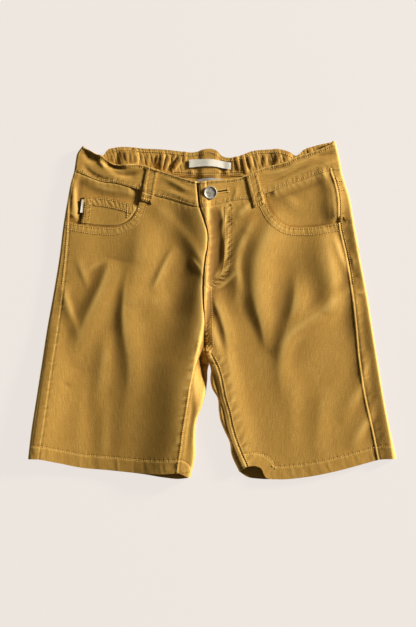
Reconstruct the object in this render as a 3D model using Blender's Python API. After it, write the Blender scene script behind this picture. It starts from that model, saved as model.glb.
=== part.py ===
"""Child's five-pocket denim shorts, laid flat with the front up.

The cloth is walls of denim. The back panels lie on the ground, roll round the side and inner
folds and end at the seams on top, and the front panels lie over them. Sizes are millimetres,
turned to metres when a mesh is made. +Y runs to the waist, +X to the wearer's left, +Z up.
"""

import math

import bmesh
import bpy
import numpy as np
from mathutils import Vector
from mathutils.geometry import delaunay_2d_cdt

MM = 0.001

# Cloth and seams
DENIM = 1.2            # wall of one layer
BAND = 2.0             # wall of the doubled waistband
LABEL = 1.0            # wall of a woven label
SEAM_GAP = 0.34        # clear space between pieces that are sewn edge to edge
LAY_GAP = 0.45         # clear space between a piece and what it lies on
LAP = DENIM + LAY_GAP  # how far a lapped layer lies below the one over it
BAND_LAP = BAND + LAY_GAP
LABEL_GAP = 0.65       # clear space under a label, which lies over slopes
BAND_LIFT = 0.8        # the waistband stands this much above the panels

# The lie of the garment
FOLD_REACH = 5.0       # how far in from a side fold the cloth is still rolling over
ON_FOLD = 0.06         # what lies this near a fold's outermost line is on it
FOLD_MIDDLE = 0.42     # height of a fold's outermost line, as a share of the garment's height
CENTRE_X = -3.5        # centre back seam
FOLD_RING = 1.4        # how far from a fold's outermost line the first ring of points runs
CREASE_ENDS = 0.25     # share of a crease's length over which it dies away at each end

# Mesh steps
TOP_STEP = 15.0
UNDER_STEP = 26.0
EDGE_STEP = 14.0
INSEAM_STEP = 9.0

# Waist
BACK_SEAM_Y = 153.5    # back waist seam at the centre
BACK_SEAM_SIDE_Y = {"right": 159.0, "left": 161.0}
BACK_SEAM_SAG = 1.0    # and it hangs this much between the centre and the sides
YOKE_SIDE_Y = 140.0
YOKE_CENTRE_Y = 112.0

# Scoop pockets and fly
FACING_LAP = 8.0       # the facing runs on this far under the front panel
FACING_BLEND = 10.0    # and comes up level with the outseam over this width
FACING_RISE = 7.0      # it rises from under the panel within this height, just above the mouth
FACING_STOP = 2.0      # an edge point this far above the mouth's end keeps that rise in shape
FLY_LAP = 8.0          # the right front runs on this far under the fly
FLY_LAP_RAMP = 25.0    # and comes out to its full width over this much of the fly's foot
FLY_STEP = (-9.5, -1.5)  # it steps down between these places beside the fly edge
FLY_END = 8.0          # and the step dies away over this much above the crotch
FLY_TAIL = 2.0         # down to this much below it
FLY_CUTS = {"panel": (112.0, -40.0), "band": (123.0, 145.0)}  # heights between which it has edges
FLY_FOOT_Y = 32.0
FLY_STACK = 1.8        # the layers at the top of the fly lift the front by this much
FLY_STACK_REACH = 28.0
FLY_STACK_Y = (85.0, 125.0)  # coming up between these heights
ZIP_WIDTH = 20.0
BAND_UNDERLAP_X = 21.0

# Button and its keyhole
BUTTON_AT = (-2.1, 134.5)
BUTTON_RADIUS = 7.5
BUTTON_HEIGHT = 2.6
SHANK_RADIUS = 2.4
HOLE_RADIUS = 3.4
SLIT_END = (17.5, 137.6)
SLIT_WIDTH = 1.4

SHANK_SINK = 0.5       # the shank ends this much above the band's underlap
BUTTON_SEAT = 0.45     # and the cap starts this much above the band

# Belt loops and back pockets
LOOP_WIDTH = 12.0
LOOP_GAP = 0.55        # clear space under a front loop
LOOP_STEP = (-7.0, -2.0)  # it steps up to the waistband between these heights over the waist seam
BACK_LOOP_X = (-96.0, CENTRE_X, 80.0)
BACK_LOOP_Y = (148.5, 180.0)
PATCH_GAP = 0.3        # between a patch pocket and the panel it is sewn to
RISE = DENIM + PATCH_GAP  # the back is lifted this much over what is sewn to its outer face
RISE_BLEND = 7.0


def table(names, *rows):
    """Rows of numbers as one array for each named column."""
    return dict(zip(names.split(), np.array(rows, float).T))


# Side folds and outseams of the two legs, from the waistband's top to the hem.
SIDES = {
    "right": table(
        "y fold seam",
        (188, -149.6, -146.6), (180, -155.0, -151.0), (171, -156.9, -153.6), (159, -158.8, -155.8),
        (148, -162.0, -159.0), (130, -165.5, -162.4), (100, -170.6, -163.8), (60, -175.6, -166.8),
        (20, -182.2, -171.4), (-20, -189.4, -176.5), (-60, -195.6, -182.5), (-100, -201.8, -188.0),
        (-140, -208.0, -193.6), (-170, -211.5, -198.7),
    ),
    "left": table(
        "y fold seam",
        (193.8, 141.6, 137.0), (180, 144.8, 137.6), (171, 146.8, 137.0), (159, 148.8, 137.4),
        (148, 152.0, 141.2), (130, 157.6, 145.0), (100, 162.6, 146.4), (60, 169.8, 155.0),
        (20, 177.5, 161.3), (-20, 184.0, 166.0), (-60, 190.4, 169.8), (-100, 197.0, 176.3),
        (-140, 204.8, 185.3), (-170, 211.5, 191.2),
    ),
}

# Inseams and inner folds, from the crotch to the hem.
CROTCH = (-7.2, -46.0)
TIP_Y = -62.0
INSEAMS = {
    "right": table(
        "y x",
        (-48, -13.0), (-56, -16.6), (-65, -19.6), (-75, -21.8), (-88, -24.4), (-109, -27.4),
        (-126, -30.2), (-141, -32.5), (-157, -34.4), (-176, -37.6), (-185.4, -38.6),
    ),
    "left": table(
        "y x",
        (-50, -1.5), (-60, 4.1), (-73, 8.9), (-86, 11.8), (-100, 14.6), (-116, 19.3),
        (-135, 23.4), (-150, 28.0), (-165, 34.0), (-178.6, 40.0),
    ),
}
INNER_FOLDS = {
    "right": table(
        "y x",
        (-62, -3.7), (-66, -4.9), (-80, -5.8), (-95, -7.5), (-108, -11.0), (-125, -17.4),
        (-145, -19.3), (-168, -19.6), (-192, -25.0),
    ),
    "left": table(
        "y x",
        (-62, -3.3), (-66, -2.0), (-80, -2.2), (-90, 0.0), (-100, 5.8), (-115, 7.4),
        (-126, 9.2), (-140, 14.8), (-151, 19.8), (-165, 21.9), (-185, 30.8),
    ),
}

# Hems: the front's and the back's lower edges, by x.
HEMS = {
    "right": table(
        "x front back",
        (-211.5, -170.0, -170.0), (-198.7, -170.4, -170.4), (-180, -174.0, -174.0),
        (-150, -180.2, -180.4), (-115, -183.2, -184.0), (-80, -186.4, -188.0),
        (-54, -186.8, -192.2), (-38.6, -185.4, -193.6), (-25, -184.0, -192.0),
    ),
    "left": table(
        "x front back",
        (30.8, -179.0, -185.0), (40, -178.6, -191.0), (52, -179.0, -193.2), (57, -182.5, -193.6),
        (60, -189.5, -193.8), (66, -193.0, -193.8), (74, -193.6, -193.8),
        (106.7, -191.2, -191.4), (141, -184.6, -184.8), (176, -175.3, -175.5), (191.2, -171.2, -171.2),
        (211.5, -170.0, -170.0),
    ),
}

# Front waist seam and the waistband's top edges, by x.
WAIST_SEAM = table(
    "x y",
    (-155.8, 159.0), (-144, 154.7), (-134.8, 150.7), (-125.6, 147.8), (-110.7, 146.1),
    (-98, 142.6), (-83.1, 138.0), (-65.8, 131.7), (-52, 128.2), (-37.1, 123.6), (-24.4, 119.8),
    (-12.9, 118.6), (-0.3, 120.2), (8.9, 122.5), (25, 125.9), (40, 127.7), (57.8, 132.8),
    (75.6, 139.2), (92.9, 146.1), (109, 151.8), (126.2, 158.0), (137.4, 161.0),
)
BAND_TOP = table(
    "x y",
    (-146.6, 186.6), (-140.6, 183.4), (-132.5, 178.8), (-125.6, 177.1), (-121, 172.5),
    (-115.3, 168.2), (-107.2, 166.2), (-98, 167.4), (-87.7, 167.9), (-75, 165.6), (-60.1, 160.4),
    (-45.1, 155.3), (-29, 150.1), (-15.8, 147.2), (-0.3, 148.9), (17, 150.1), (31.9, 152.4),
    (54.9, 162.2), (68.7, 166.2), (82.5, 169.6), (96.3, 176.0), (109, 180.0), (122.8, 184.6),
    (137.0, 190.8),
)
BACK_BAND_TOP = table(
    "x y",
    (-149.6, 188.0), (-140, 181.2), (-132, 176.4), (-127, 175.6), (-124.0, 179.6),
    (-119.9, 184.6), (-114.0, 186.4), (-75, 185.7), (-53.2, 184.6), (-25.6, 181.4), (6.6, 181.6),
    (11, 177.6), (20, 175.3), (33.1, 178.0), (43.4, 182.3), (60.7, 184.6), (77.9, 184.6),
    (89.4, 181.1), (97.5, 177.7), (104.4, 184.0), (114.7, 188.0), (129.7, 191.8), (141.6, 193.8),
)
FLY_EDGE = table(
    "y x",
    (147.2, -15.8), (133, -14.7), (118.6, -12.9), (106, -8.7), (90, -4.5), (74, -4.5),
    (57, -7.2), (40, -8.7), (24, -9.3), (0, -8.7), (-18, -8.3), (-46, -7.2),
)

# Scoop pocket mouths, from the waist seam round to the outseam.
MOUTHS = {
    "right": table(
        "x y",
        (-83.1, 138.0), (-83.4, 126), (-84.8, 119), (-88.8, 109.8), (-95.7, 102.1),
        (-104.9, 97.2), (-114.1, 95.4), (-129.1, 95.8), (-141.7, 97.2), (-153.2, 99.1),
        (-163.7, 101.4),
    ),
    "left": table(
        "x y",
        (59.9, 133.6), (62.2, 123.5), (66.4, 114.4), (72.2, 105.8), (80.8, 98.9), (89.4, 95.6),
        (100.9, 94.9), (118.2, 95.6), (131.4, 98.0), (146.4, 100.6),
    ),
}
MOUTH_TOP_X = {"right": -83.1, "left": 59.9}
MOUTH_SIDE_Y = {"right": 101.4, "left": 100.6}
COIN_TOP = table(
    "x y",
    (-146.2, 130.6), (-134.8, 130.0), (-121, 128.6), (-106, 125.6), (-96, 122.6), (-88.6, 120.4),
)
COIN_FOOT = (-149.4, 99.8)
TAB = table("x y", (-148.8, 112.0), (-147.0, 127.0))
TAB_WIDTH = 2.4

FRONT_LOOPS = {
    "right": table("x y", (-81.6, 126.5), (-68.1, 121.9), (-61.2, 161.0), (-74.5, 165.0)),
    "left": table("x y", (48.0, 117.6), (60.4, 122.3), (51.4, 159.4), (38.9, 153.6)),
}
BACK_POCKETS = {
    "right": table(
        "x y", (-164, 106), (-158, 9), (-122, -4), (-84, 7), (-78, 102),
    ),
    "left": table(
        "x y", (70, 102), (78, 7), (117, -4), (158, 9), (163, 40),
    ),
}
POCKET_WRAP = {"top": 107.0, "foot": 66.0, "reach_x": 150.5}  # left pocket, round the side fold
MAIN_LABEL = table(
    "x low high",
    (-26.4, 163.9, 173.1), (-8.3, 165.4, 173.7), (3.2, 165.0, 173.1), (11.2, 163.4, 171.4),
    (21.3, 161.6, 169.6),
)
SIZE_LABEL = table("x low high", (-18.1, 144.6, 149.8), (-4.9, 147.0, 152.2), (13.5, 145.6, 150.6))

# Height of the front's upper face along the garment.
HEIGHTS = table(
    "y height",
    (200, 6.3), (160, 6.4), (120, 6.4), (80, 6.3), (40, 6.1), (0, 6.0), (-60, 5.8), (-130, 5.4),
    (-200, 5.0),
)

# The largest folds: start, middle and end of each, its half width, and its height.
CREASES = table(
    "x0 y0 x1 y1 x2 y2 width height",
    (-20, 12, -42, -45, -62, -149, 20, -1.4),      # broad valley inside the right leg
    (-122, 35, -135, 12, -155, -28, 7, -1.2),      # slanting trough, right thigh
    (-105, 18, -101, -45, -108, -114, 7, -0.9),    # long trough, middle of the right leg
    (-14, -26, -22, -62, -27, -105, 5, 1.0),       # ridge beside the right inseam
    (-60, 112, -44, 100, -26, 93, 7, -0.8),        # pull towards the fly
    (-37, 87, -28, 72, -20, 50, 6, -1.0),          # pull towards the fly's foot
    (56, 86, 38, 40, 50, -32, 9, -1.8),            # the deep fold of the left leg
    (44, 104, 32, 81, 23, 56, 9, 1.0),             # ridge beside it
    (140, 4, 126, -8, 98, -30, 9, 1.2),            # slanting ridge, left thigh
    (4, -30, 12, -58, 24, -120, 5, 1.0),           # ridge beside the left inseam
    (81, 12, 75, -17, 76, -56, 8, -0.9),           # short trough, left thigh
)


def hermite(knots, values, at):
    """A smooth curve through a table's rows, read at any place between them."""
    if knots[0] > knots[-1]:
        knots, values = knots[::-1], values[::-1]
    at = np.clip(np.asarray(at, float), knots[0], knots[-1])
    slope = np.gradient(values, knots)
    i = np.clip(np.searchsorted(knots, at) - 1, 0, len(knots) - 2)
    h = knots[i + 1] - knots[i]
    t = (at - knots[i]) / h
    return (
        (1 + 2 * t) * (1 - t) ** 2 * values[i] + t * (1 - t) ** 2 * h * slope[i]
        + t * t * (3 - 2 * t) * values[i + 1] - t * t * (1 - t) * h * slope[i + 1]
    )


def ease(t):
    t = np.clip(t, 0, 1)
    return t * t * (3 - 2 * t)


def steps(start, end, step):
    return np.linspace(start, end, max(1, math.ceil(abs(end - start) / step)) + 1)


def shared_steps(start, end, step, stops=()):
    """Two ends and what lies between them of an even scale, so runs that share a line share points.

    Points of the scale make way for stops close by.
    """
    low, high = sorted((start, end))
    marks = [low, high, *[stop for stop in stops if low + 2 < stop < high - 2]]
    scale = np.arange(math.ceil(low / step), math.floor(high / step) + 1) * step
    marks += [mark for mark in scale if np.abs(mark - np.array(marks)).min() > 0.3 * step]
    return np.array(sorted(marks)[::1 if start < end else -1])


def up_down(tab, column, start, end, step=EDGE_STEP, stops=()):
    """Points of an x(y) column between two heights."""
    y = shared_steps(start, end, step, stops)
    return np.stack([hermite(tab["y"], tab[column], y), y], 1)


def across(tab, column, start, end, step=EDGE_STEP, stops=()):
    """Points of a y(x) column between two places."""
    x = shared_steps(start, end, step, stops)
    return np.stack([x, hermite(tab["x"], tab[column], x)], 1)


def corners(tab):
    return np.stack([tab["x"], tab["y"]], 1)


def rounded(tab, parts=2):
    """Points of a table as a smooth curve, each stretch in a few parts."""
    points = corners(tab)
    places = np.arange(len(points))
    at = np.linspace(0, len(points) - 1, parts * (len(points) - 1) + 1)
    return np.stack([hermite(places, points[:, k], at) for k in (0, 1)], 1)


def fold_line(side):
    return up_down(SIDES[side], "fold", SIDES[side]["y"][0], SIDES[side]["y"][-1], 8)


def inner_line(side):
    return up_down(INNER_FOLDS[side], "x", TIP_Y, INNER_FOLDS[side]["y"][-1], 4)


FOLDS = [(SIDES["right"], "fold"), (SIDES["left"], "fold"),
         (INNER_FOLDS["right"], "x"), (INNER_FOLDS["left"], "x")]


def distance(x, y, line):
    """Shortest way from each point to a line of points."""
    a, b = line[:-1], line[1:]
    way = b - a
    px, py = x[:, None] - a[:, 0], y[:, None] - a[:, 1]
    t = np.clip((px * way[:, 0] + py * way[:, 1]) / (way ** 2).sum(1), 0, 1)
    return np.hypot(px - t * way[:, 0], py - t * way[:, 1]).min(1)


def roll(x, y):
    """0 on a fold's outermost line, 1 where the cloth has rolled over."""
    reach = np.full(len(x), FOLD_REACH)
    for tab, column in FOLDS:
        level = np.clip(y, tab["y"].min(), tab["y"].max())
        away = np.hypot(x - hermite(tab["y"], tab[column], level), y - level)
        reach = np.minimum(reach, away)
    share = np.clip((reach - ON_FOLD) / (FOLD_REACH - ON_FOLD), 0, 1)
    return np.sqrt(1 - (1 - share) ** 2)


def spread(x, y):
    """Height of the front's upper face over the ground, creases and all, before it rolls over."""
    high = hermite(HEIGHTS["y"], HEIGHTS["height"], y)
    beside = (x - BUTTON_AT[0]) / FLY_STACK_REACH
    rise = ease((y - FLY_STACK_Y[0]) / (FLY_STACK_Y[1] - FLY_STACK_Y[0]))
    high = high + FLY_STACK * np.exp(-beside ** 2) * rise
    for k in range(len(CREASES["x0"])):
        t = np.linspace(0, 1, 13)
        path = np.stack(
            [
                (1 - t) ** 2 * CREASES[c + "0"][k]
                + 2 * t * (1 - t) * CREASES[c + "1"][k]
                + t * t * CREASES[c + "2"][k]
                for c in "xy"
            ], 1,
        )
        near = np.hypot(x[:, None] - path[:, 0], y[:, None] - path[:, 1])
        along = t[near.argmin(1)]
        ends = ease(along / CREASE_ENDS) * ease((1 - along) / CREASE_ENDS)
        off = distance(x, y, path) / CREASES["width"][k]
        high = high + CREASES["height"][k] * ends * np.exp(-off ** 2)
    return high


def inside(x, y, outline):
    """Whether each point lies in a closed outline."""
    found = np.zeros(len(x), bool)
    for (ax, ay), (bx, by) in zip(outline, np.roll(outline, -1, 0)):
        if ay != by:
            found ^= ((ay > y) != (by > y)) & (x < (bx - ax) * (y - ay) / (by - ay) + ax)
    return found


def back_loop_outline(x):
    half = LOOP_WIDTH / 2
    low, high = BACK_LOOP_Y
    return np.array([(x - half, low), (x + half, low), (x + half, high), (x - half, high)])


def divided(points, step=EDGE_STEP):
    """The same line with points no further apart than a step."""
    found = [points[:1]]
    for a, b in zip(points[:-1], points[1:]):
        t = steps(0, 1, step / math.hypot(*(b - a)))[1:, None]
        found.append(a + (b - a) * t)
    return np.concatenate(found)


def pocket_fold(start, end):
    return up_down(SIDES["left"], "fold", start, end)


def pocket_cuts(side):
    """The back pocket's sewn edge on the ground side, and where it comes round onto the front."""
    sewn = corners(BACK_POCKETS[side])
    if side == "right":
        return divided(np.concatenate([sewn, sewn[:1]])), None
    top, foot = pocket_fold(POCKET_WRAP["top"], POCKET_WRAP["foot"])[[0, -1]]
    round_fold = np.array([top, (POCKET_WRAP["reach_x"], POCKET_WRAP["top"]), foot])
    return divided(np.concatenate([[top], sewn, [foot]])), divided(round_fold, 8)


def pocket_regions(side):
    under, over = pocket_cuts(side)
    if side == "right":
        return [under[:-1]]
    fold = pocket_fold(POCKET_WRAP["foot"], POCKET_WRAP["top"])[1:-1]
    return [np.concatenate([under, fold]), np.concatenate([over, fold])]


UNDER_PIECES = [back_loop_outline(x) for x in BACK_LOOP_X] + [
    pocket_regions("right")[0], pocket_regions("left")[0],
]


def lifted(x, y):
    """Height of the back's outer face over the ground, where it lies on a pocket or a loop."""
    high = np.zeros(len(x))
    for outline in UNDER_PIECES:
        away = distance(x, y, np.concatenate([outline, outline[:1]]))
        away = np.where(inside(x, y, outline), 0, away)
        high = np.maximum(high, RISE * ease(1 - away / RISE_BLEND))
    return high


def upper(level=0.0):
    """Outer face of a piece on the upper side. level is a number or a function of x and y."""

    def height(x, y):
        lift = level(x, y) if callable(level) else level
        middle = FOLD_MIDDLE * spread(x, y)
        return middle + (spread(x, y) + lift - middle) * roll(x, y)

    return height


def lower(x, y):
    """Outer face of the back, on the ground side."""
    middle = FOLD_MIDDLE * spread(x, y)
    return middle + (lifted(x, y) - middle) * roll(x, y)


def outline(*runs):
    """A closed outline from (points, gap) runs, drawn in by its gap along each run.

    Each run starts where the one before it ends, so its first point is dropped.
    """
    points, gaps = [], []
    for run, gap in runs:
        points += [tuple(p) for p in run[:-1]]
        gaps += [gap] * (len(run) - 1)
    points = np.array(points)
    after = np.roll(points, -1, 0) - points
    length = np.hypot(after[:, 0], after[:, 1])
    keep = length > 0.4
    points, gaps = points[keep], np.array(gaps)[keep]
    after = np.roll(points, -1, 0) - points
    area = (points[:, 0] * np.roll(points[:, 1], -1) - np.roll(points[:, 0], -1) * points[:, 1]).sum()
    inward = np.stack([-after[:, 1], after[:, 0]], 1) * np.sign(area)
    inward /= np.hypot(after[:, 0], after[:, 1])[:, None]
    moved = []
    for i, point in enumerate(points):
        n0, n1, g0, g1 = inward[i - 1], inward[i], gaps[i - 1], gaps[i]
        turn = n0[0] * n1[1] - n0[1] * n1[0]
        if g0 == 0 or g1 == 0:
            # The corner slides along the run that has no gap, so two sheets that share it still meet.
            back = point - points[i - 1]
            on = points[(i + 1) % len(points)] - point
            slide = -back / np.hypot(*back) * g1 if g0 == 0 else on / np.hypot(*on) * g0
            moved.append(point + slide)
        elif abs(turn) < 0.15:
            moved.append(point + (n0 + n1) / 2 * max(g0, g1))
        else:
            moved.append(point + np.array([g0 * n1[1] - g1 * n0[1], g1 * n0[0] - g0 * n1[0]]) / turn)
    return np.array(moved)


def filled(border, step, extra=(), holes=(), cuts=()):
    """Points and triangles of a flat region, with an even lattice of points inside it.

    No triangle crosses a cut, which is an open line of points.
    """
    loops = [border, *holes]
    closed = [np.concatenate([loop, loop[:1]]) for loop in loops]
    points = np.concatenate([*loops, *cuts])
    low, high = border.min(0), border.max(0)
    rows = np.arange(low[1] + step / 2, high[1], step * math.sqrt(3) / 2)
    lattice = [
        (x, y) for j, y in enumerate(rows)
        for x in np.arange(low[0] + step * (0.3 + 0.5 * (j % 2)), high[0], step)
    ]
    for new, clear in ((np.array(extra).reshape(-1, 2), 1.0), (np.array(lattice).reshape(-1, 2), 0.5 * step)):
        if not len(new):
            continue
        good = inside(new[:, 0], new[:, 1], border)
        for run in [*closed, *cuts]:
            good &= distance(new[:, 0], new[:, 1], run) > clear
        for hole in holes:
            good &= ~inside(new[:, 0], new[:, 1], hole)
        for i in np.flatnonzero(good):
            if np.hypot(*(points - new[i]).T).min() > clear:
                points = np.concatenate([points, new[i:i + 1]])
    edges, first = [], 0
    for loop in loops:
        edges += [(first + k, first + (k + 1) % len(loop)) for k in range(len(loop))]
        first += len(loop)
    for cut in cuts:
        edges += [(first + k, first + k + 1) for k in range(len(cut) - 1)]
        first += len(cut)
    placed, _, faces, _, _, _ = delaunay_2d_cdt([Vector(p) for p in points], edges, [], 0, 1e-5)
    placed = np.array([tuple(p) for p in placed])
    faces = np.array([f for f in faces if len(f) == 3])
    centre = placed[faces].mean(1)
    good = inside(centre[:, 0], centre[:, 1], border)
    for hole in holes:
        good &= ~inside(centre[:, 0], centre[:, 1], hole)
    return placed, faces[good]


def fold_rings():
    """Points on lines that run beside the folds, where the cloth rolls over."""
    rings = []
    for run in (fold_line("right"), fold_line("left"), inner_line("right"), inner_line("left")):
        way = np.gradient(run, axis=0)
        normal = np.stack([-way[:, 1], way[:, 0]], 1) / np.hypot(*way.T)[:, None]
        for inward in (FOLD_RING, FOLD_REACH):
            rings += [*(run + normal * inward)[::2], *(run - normal * inward)[::2]]
    return rings


RINGS = fold_rings()


def new_object(name, mesh, colour, roughness=0.9, metallic=0.0):
    material = bpy.data.materials.new(name)
    material.use_nodes = True
    shader = material.node_tree.nodes["Principled BSDF"]
    shader.inputs["Base Color"].default_value = (*colour, 1)
    shader.inputs["Roughness"].default_value = roughness
    shader.inputs["Metallic"].default_value = metallic
    mesh.materials.append(material)
    made = bpy.data.objects.new(name, mesh)
    bpy.context.scene.collection.objects.link(made)
    return made


MUSTARD = (0.47, 0.27, 0.05)
LABEL_WHITE = (0.72, 0.70, 0.66)
ZIP_OCHRE = (0.36, 0.20, 0.04)
NICKEL = (0.55, 0.50, 0.42)


def facing_of(height, x, y, faces_up):
    """Which way a sheet faces at each point: square to its surface, and outwards on a fold.

    It is left open (zero) at the crotch's tip, where two folds start.
    """
    reach = 0.05
    slope_x = (height(x + reach, y) - height(x - reach, y)) / (2 * reach)
    slope_y = (height(x, y + reach) - height(x, y - reach)) / (2 * reach)
    facing = np.stack([-slope_x, -slope_y, np.ones(len(x))], 1)
    facing *= (1 if faces_up else -1) / np.linalg.norm(facing, axis=1)[:, None]
    on_fold = roll(x, y) == 0
    facing[on_fold] = 0
    for (tab, column), outwards in zip(FOLDS, (-1, 1, 1, -1)):
        level = np.clip(y, tab["y"].min(), tab["y"].max())
        here = on_fold & (np.abs(x - hermite(tab["y"], tab[column], level)) < 1) & (y != TIP_Y)
        lean = hermite(tab["y"], tab[column], level + reach) - hermite(tab["y"], tab[column], level - reach)
        way = np.stack([np.ones(len(x)), -lean / (2 * reach), np.zeros(len(x))], 1)
        facing[here] = (way * outwards / np.linalg.norm(way, axis=1)[:, None])[here]
    return facing


def cloth(name, sheets, wall=DENIM, out=0.0, colour=MUSTARD):
    """A cloth wall from its outer face: (points, triangles, height function, faces up) sheets.

    The wall is laid off square to the face, so neighbours along a seam keep their gap all
    through it. A patch is made from the face it lies on, moved out by the gap out.
    """
    made = bmesh.new()
    aim = made.verts.layers.float_vector.new("aim")
    for points, faces, height, faces_up in sheets:
        x, y = points.T
        new = []
        for px, py, pz, way in zip(x, y, height(x, y), facing_of(height, x, y, faces_up)):
            new.append(made.verts.new((px * MM, py * MM, pz * MM)))
            new[-1][aim] = way
        for face in faces:
            made.faces.new([new[k] for k in (face if faces_up else face[::-1])])
    bmesh.ops.remove_doubles(made, verts=made.verts, dist=0.0001)
    bmesh.ops.delete(made, geom=[v for v in made.verts if not v.link_faces], context="VERTS")
    made.normal_update()
    near, far = (out, out + wall) if out else (0.0, -wall)
    rim = [(edge, edge.link_loops[0]) for edge in made.edges if edge.is_boundary]
    rim = [(loop.vert, loop.link_loop_next.vert) for _, loop in rim]
    ways = {v: (v[aim] if v[aim].length > 0 else v.normal).copy() for v in made.verts}
    other = {v: made.verts.new(v.co + way * far * MM) for v, way in ways.items()}
    for v, way in ways.items():
        v.co += way * near * MM
    for face in list(made.faces):
        made.faces.new([other[v] for v in reversed(face.verts)])
    for a, b in rim:
        made.faces.new([b, a, other[a], other[b]])
    if out:
        bmesh.ops.reverse_faces(made, faces=made.faces)
    mesh = bpy.data.meshes.new(name)
    made.to_mesh(mesh)
    made.free()
    mesh.shade_smooth()
    mesh.set_sharp_from_angle(angle=math.radians(50))
    return new_object(name, mesh, colour)


def upper_sheet(border, level=0.0, step=TOP_STEP, extra=(), **more):
    points, faces = filled(border, step, extra=[*RINGS, *extra], **more)
    return points, faces, upper(level), True


def lower_sheet(border, step=UNDER_STEP, extra=(), **more):
    points, faces = filled(border, step, extra=[*RINGS, *extra], **more)
    return points, faces, lower, False


GAP = SEAM_GAP / 2
SIDE_SIGN = {"right": -1, "left": 1}


def line(*points):
    return np.array(points, float)


def waist_y(x):
    return hermite(WAIST_SEAM["x"], WAIST_SEAM["y"], x)


def centre(side):
    return CENTRE_X + SIDE_SIGN[side] * GAP


def back_waist(side, end_x):
    """The back waist seam on the ground side, from the side fold to the centre back."""
    y = BACK_SEAM_SIDE_Y[side]
    fold = float(hermite(SIDES[side]["y"], SIDES[side]["fold"], y))
    edge = LOOP_WIDTH / 2
    stops = [x + way for x in BACK_LOOP_X for way in (-edge - RISE_BLEND, -edge, edge, edge + RISE_BLEND)]
    low, high = sorted((fold, end_x))
    x = np.array([low] + [stop for stop in sorted(stops) if low + 3 < stop < high - 3] + [high])
    share = (x - fold) / (end_x - fold)
    run = np.stack([x, y + (BACK_SEAM_Y - y) * share - 4 * BACK_SEAM_SAG * share * (1 - share)], 1)
    return run if fold < end_x else run[::-1]


def front_waist(start, end):
    """The front waist seam, with points where the layer under the fly steps down."""
    return across(WAIST_SEAM, "y", start, end, stops=FLY_EDGE["x"][2] + np.array(FLY_STEP))


def side_point(side, column, y):
    return float(hermite(SIDES[side]["y"], SIDES[side][column], y)), y


def make_back_yoke(side):
    top, foot = BACK_SEAM_SIDE_Y[side], YOKE_SIDE_Y
    centre_stops = BACK_SEAM_Y, BACK_LOOP_Y[0], BACK_LOOP_Y[0] - RISE_BLEND, YOKE_CENTRE_Y
    under = outline(
        (up_down(SIDES[side], "fold", foot, top), 0),
        (back_waist(side, centre(side)), GAP),
        (line(*[(centre(side), y) for y in centre_stops]), 0),
        (line((centre(side), YOKE_CENTRE_Y), side_point(side, "fold", foot)), GAP),
    )
    over = outline(
        (up_down(SIDES[side], "fold", foot, top), 0),
        (line(side_point(side, "fold", top), side_point(side, "seam", top)), GAP),
        (up_down(SIDES[side], "seam", top, foot), GAP),
        (line(side_point(side, "seam", foot), side_point(side, "fold", foot)), GAP),
    )
    cloth("back_yoke_" + side, [lower_sheet(under, extra=rise_rings()), upper_sheet(over)])


def rise_rings():
    """Points round what is sewn to the back's outer face, where the back comes down to the ground."""
    rings = []
    for border in UNDER_PIECES:
        run = divided(np.concatenate([border, border[:1]]))
        way = np.gradient(run, axis=0)
        normal = np.stack([way[:, 1], -way[:, 0]], 1) / np.hypot(*way.T)[:, None]
        probe = run[1] + normal[1] * 0.5
        if inside(probe[:1], probe[1:], border)[0]:
            normal = -normal
        rings += [*run, *(run + normal * RISE_BLEND)]
    return rings


def make_back_panel(side):
    """The back panel, and the patch pocket sewn to it, made from the panel's own faces."""
    hem = HEMS[side]
    outer_foot = SIDES[side]["y"][-1]
    inner_foot = INNER_FOLDS[side]["y"][-1]
    outer_x, seam_x = SIDES[side]["fold"][-1], SIDES[side]["seam"][-1]
    inner_x, inseam_x = INNER_FOLDS[side]["x"][-1], INSEAMS[side]["x"][-1]
    inseam_top = INSEAMS[side]["x"][0], INSEAMS[side]["y"][0]
    stops = (YOKE_SIDE_Y, POCKET_WRAP["top"], POCKET_WRAP["foot"], outer_foot)
    runs = [up_down(SIDES[side], "fold", a, b) for a, b in zip(stops[:-1], stops[1:])]
    fold = np.concatenate([runs[0], runs[1][1:], runs[2][1:]])
    inner_fold = up_down(INNER_FOLDS[side], "x", inner_foot, TIP_Y, 8)
    tip = inner_fold[-1]
    crotch = (CROTCH[0] + SIDE_SIGN[side] * GAP, CROTCH[1])
    inseam = up_down(INSEAMS[side], "x", inseam_top[1], INSEAMS[side]["y"][-1], INSEAM_STEP)
    under = outline(
        (fold, 0),
        (across(hem, "back", outer_x, inner_x), 0),
        (inner_fold, 0),
        (line(tip, (centre(side), YOKE_CENTRE_Y)), 0),
        (line((centre(side), YOKE_CENTRE_Y), side_point(side, "fold", YOKE_SIDE_Y)), GAP),
    )
    outer_strip = outline(
        (fold, 0),
        (across(hem, "back", outer_x, seam_x), 0),
        (up_down(SIDES[side], "seam", outer_foot, YOKE_SIDE_Y), GAP),
        (line(side_point(side, "seam", YOKE_SIDE_Y), side_point(side, "fold", YOKE_SIDE_Y)), GAP),
    )
    strip_hem = line((inseam_x, INSEAMS[side]["y"][-1]), (inner_x, inner_foot))
    inner_strip = outline(
        (line(tip, crotch), 0),
        (line(crotch, inseam_top), GAP),
        (inseam, GAP),
        (strip_hem, 0),
        (inner_fold, 0),
    )
    sewn, round_fold = pocket_cuts(side)
    sheets = [
        lower_sheet(under, extra=rise_rings(), cuts=[sewn]),
        upper_sheet(outer_strip, cuts=[] if round_fold is None else [round_fold]),
        upper_sheet(inner_strip),
    ]
    cloth("back_panel_" + side, sheets)
    patch = []
    for (points, faces, height, faces_up), region in zip(sheets, pocket_regions(side)):
        middle = points[faces].mean(1)
        chosen = inside(middle[:, 0], middle[:, 1], region)
        patch.append((points, faces[chosen], height, faces_up))
    cloth("back_pocket_" + side, patch, out=PATCH_GAP)


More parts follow.
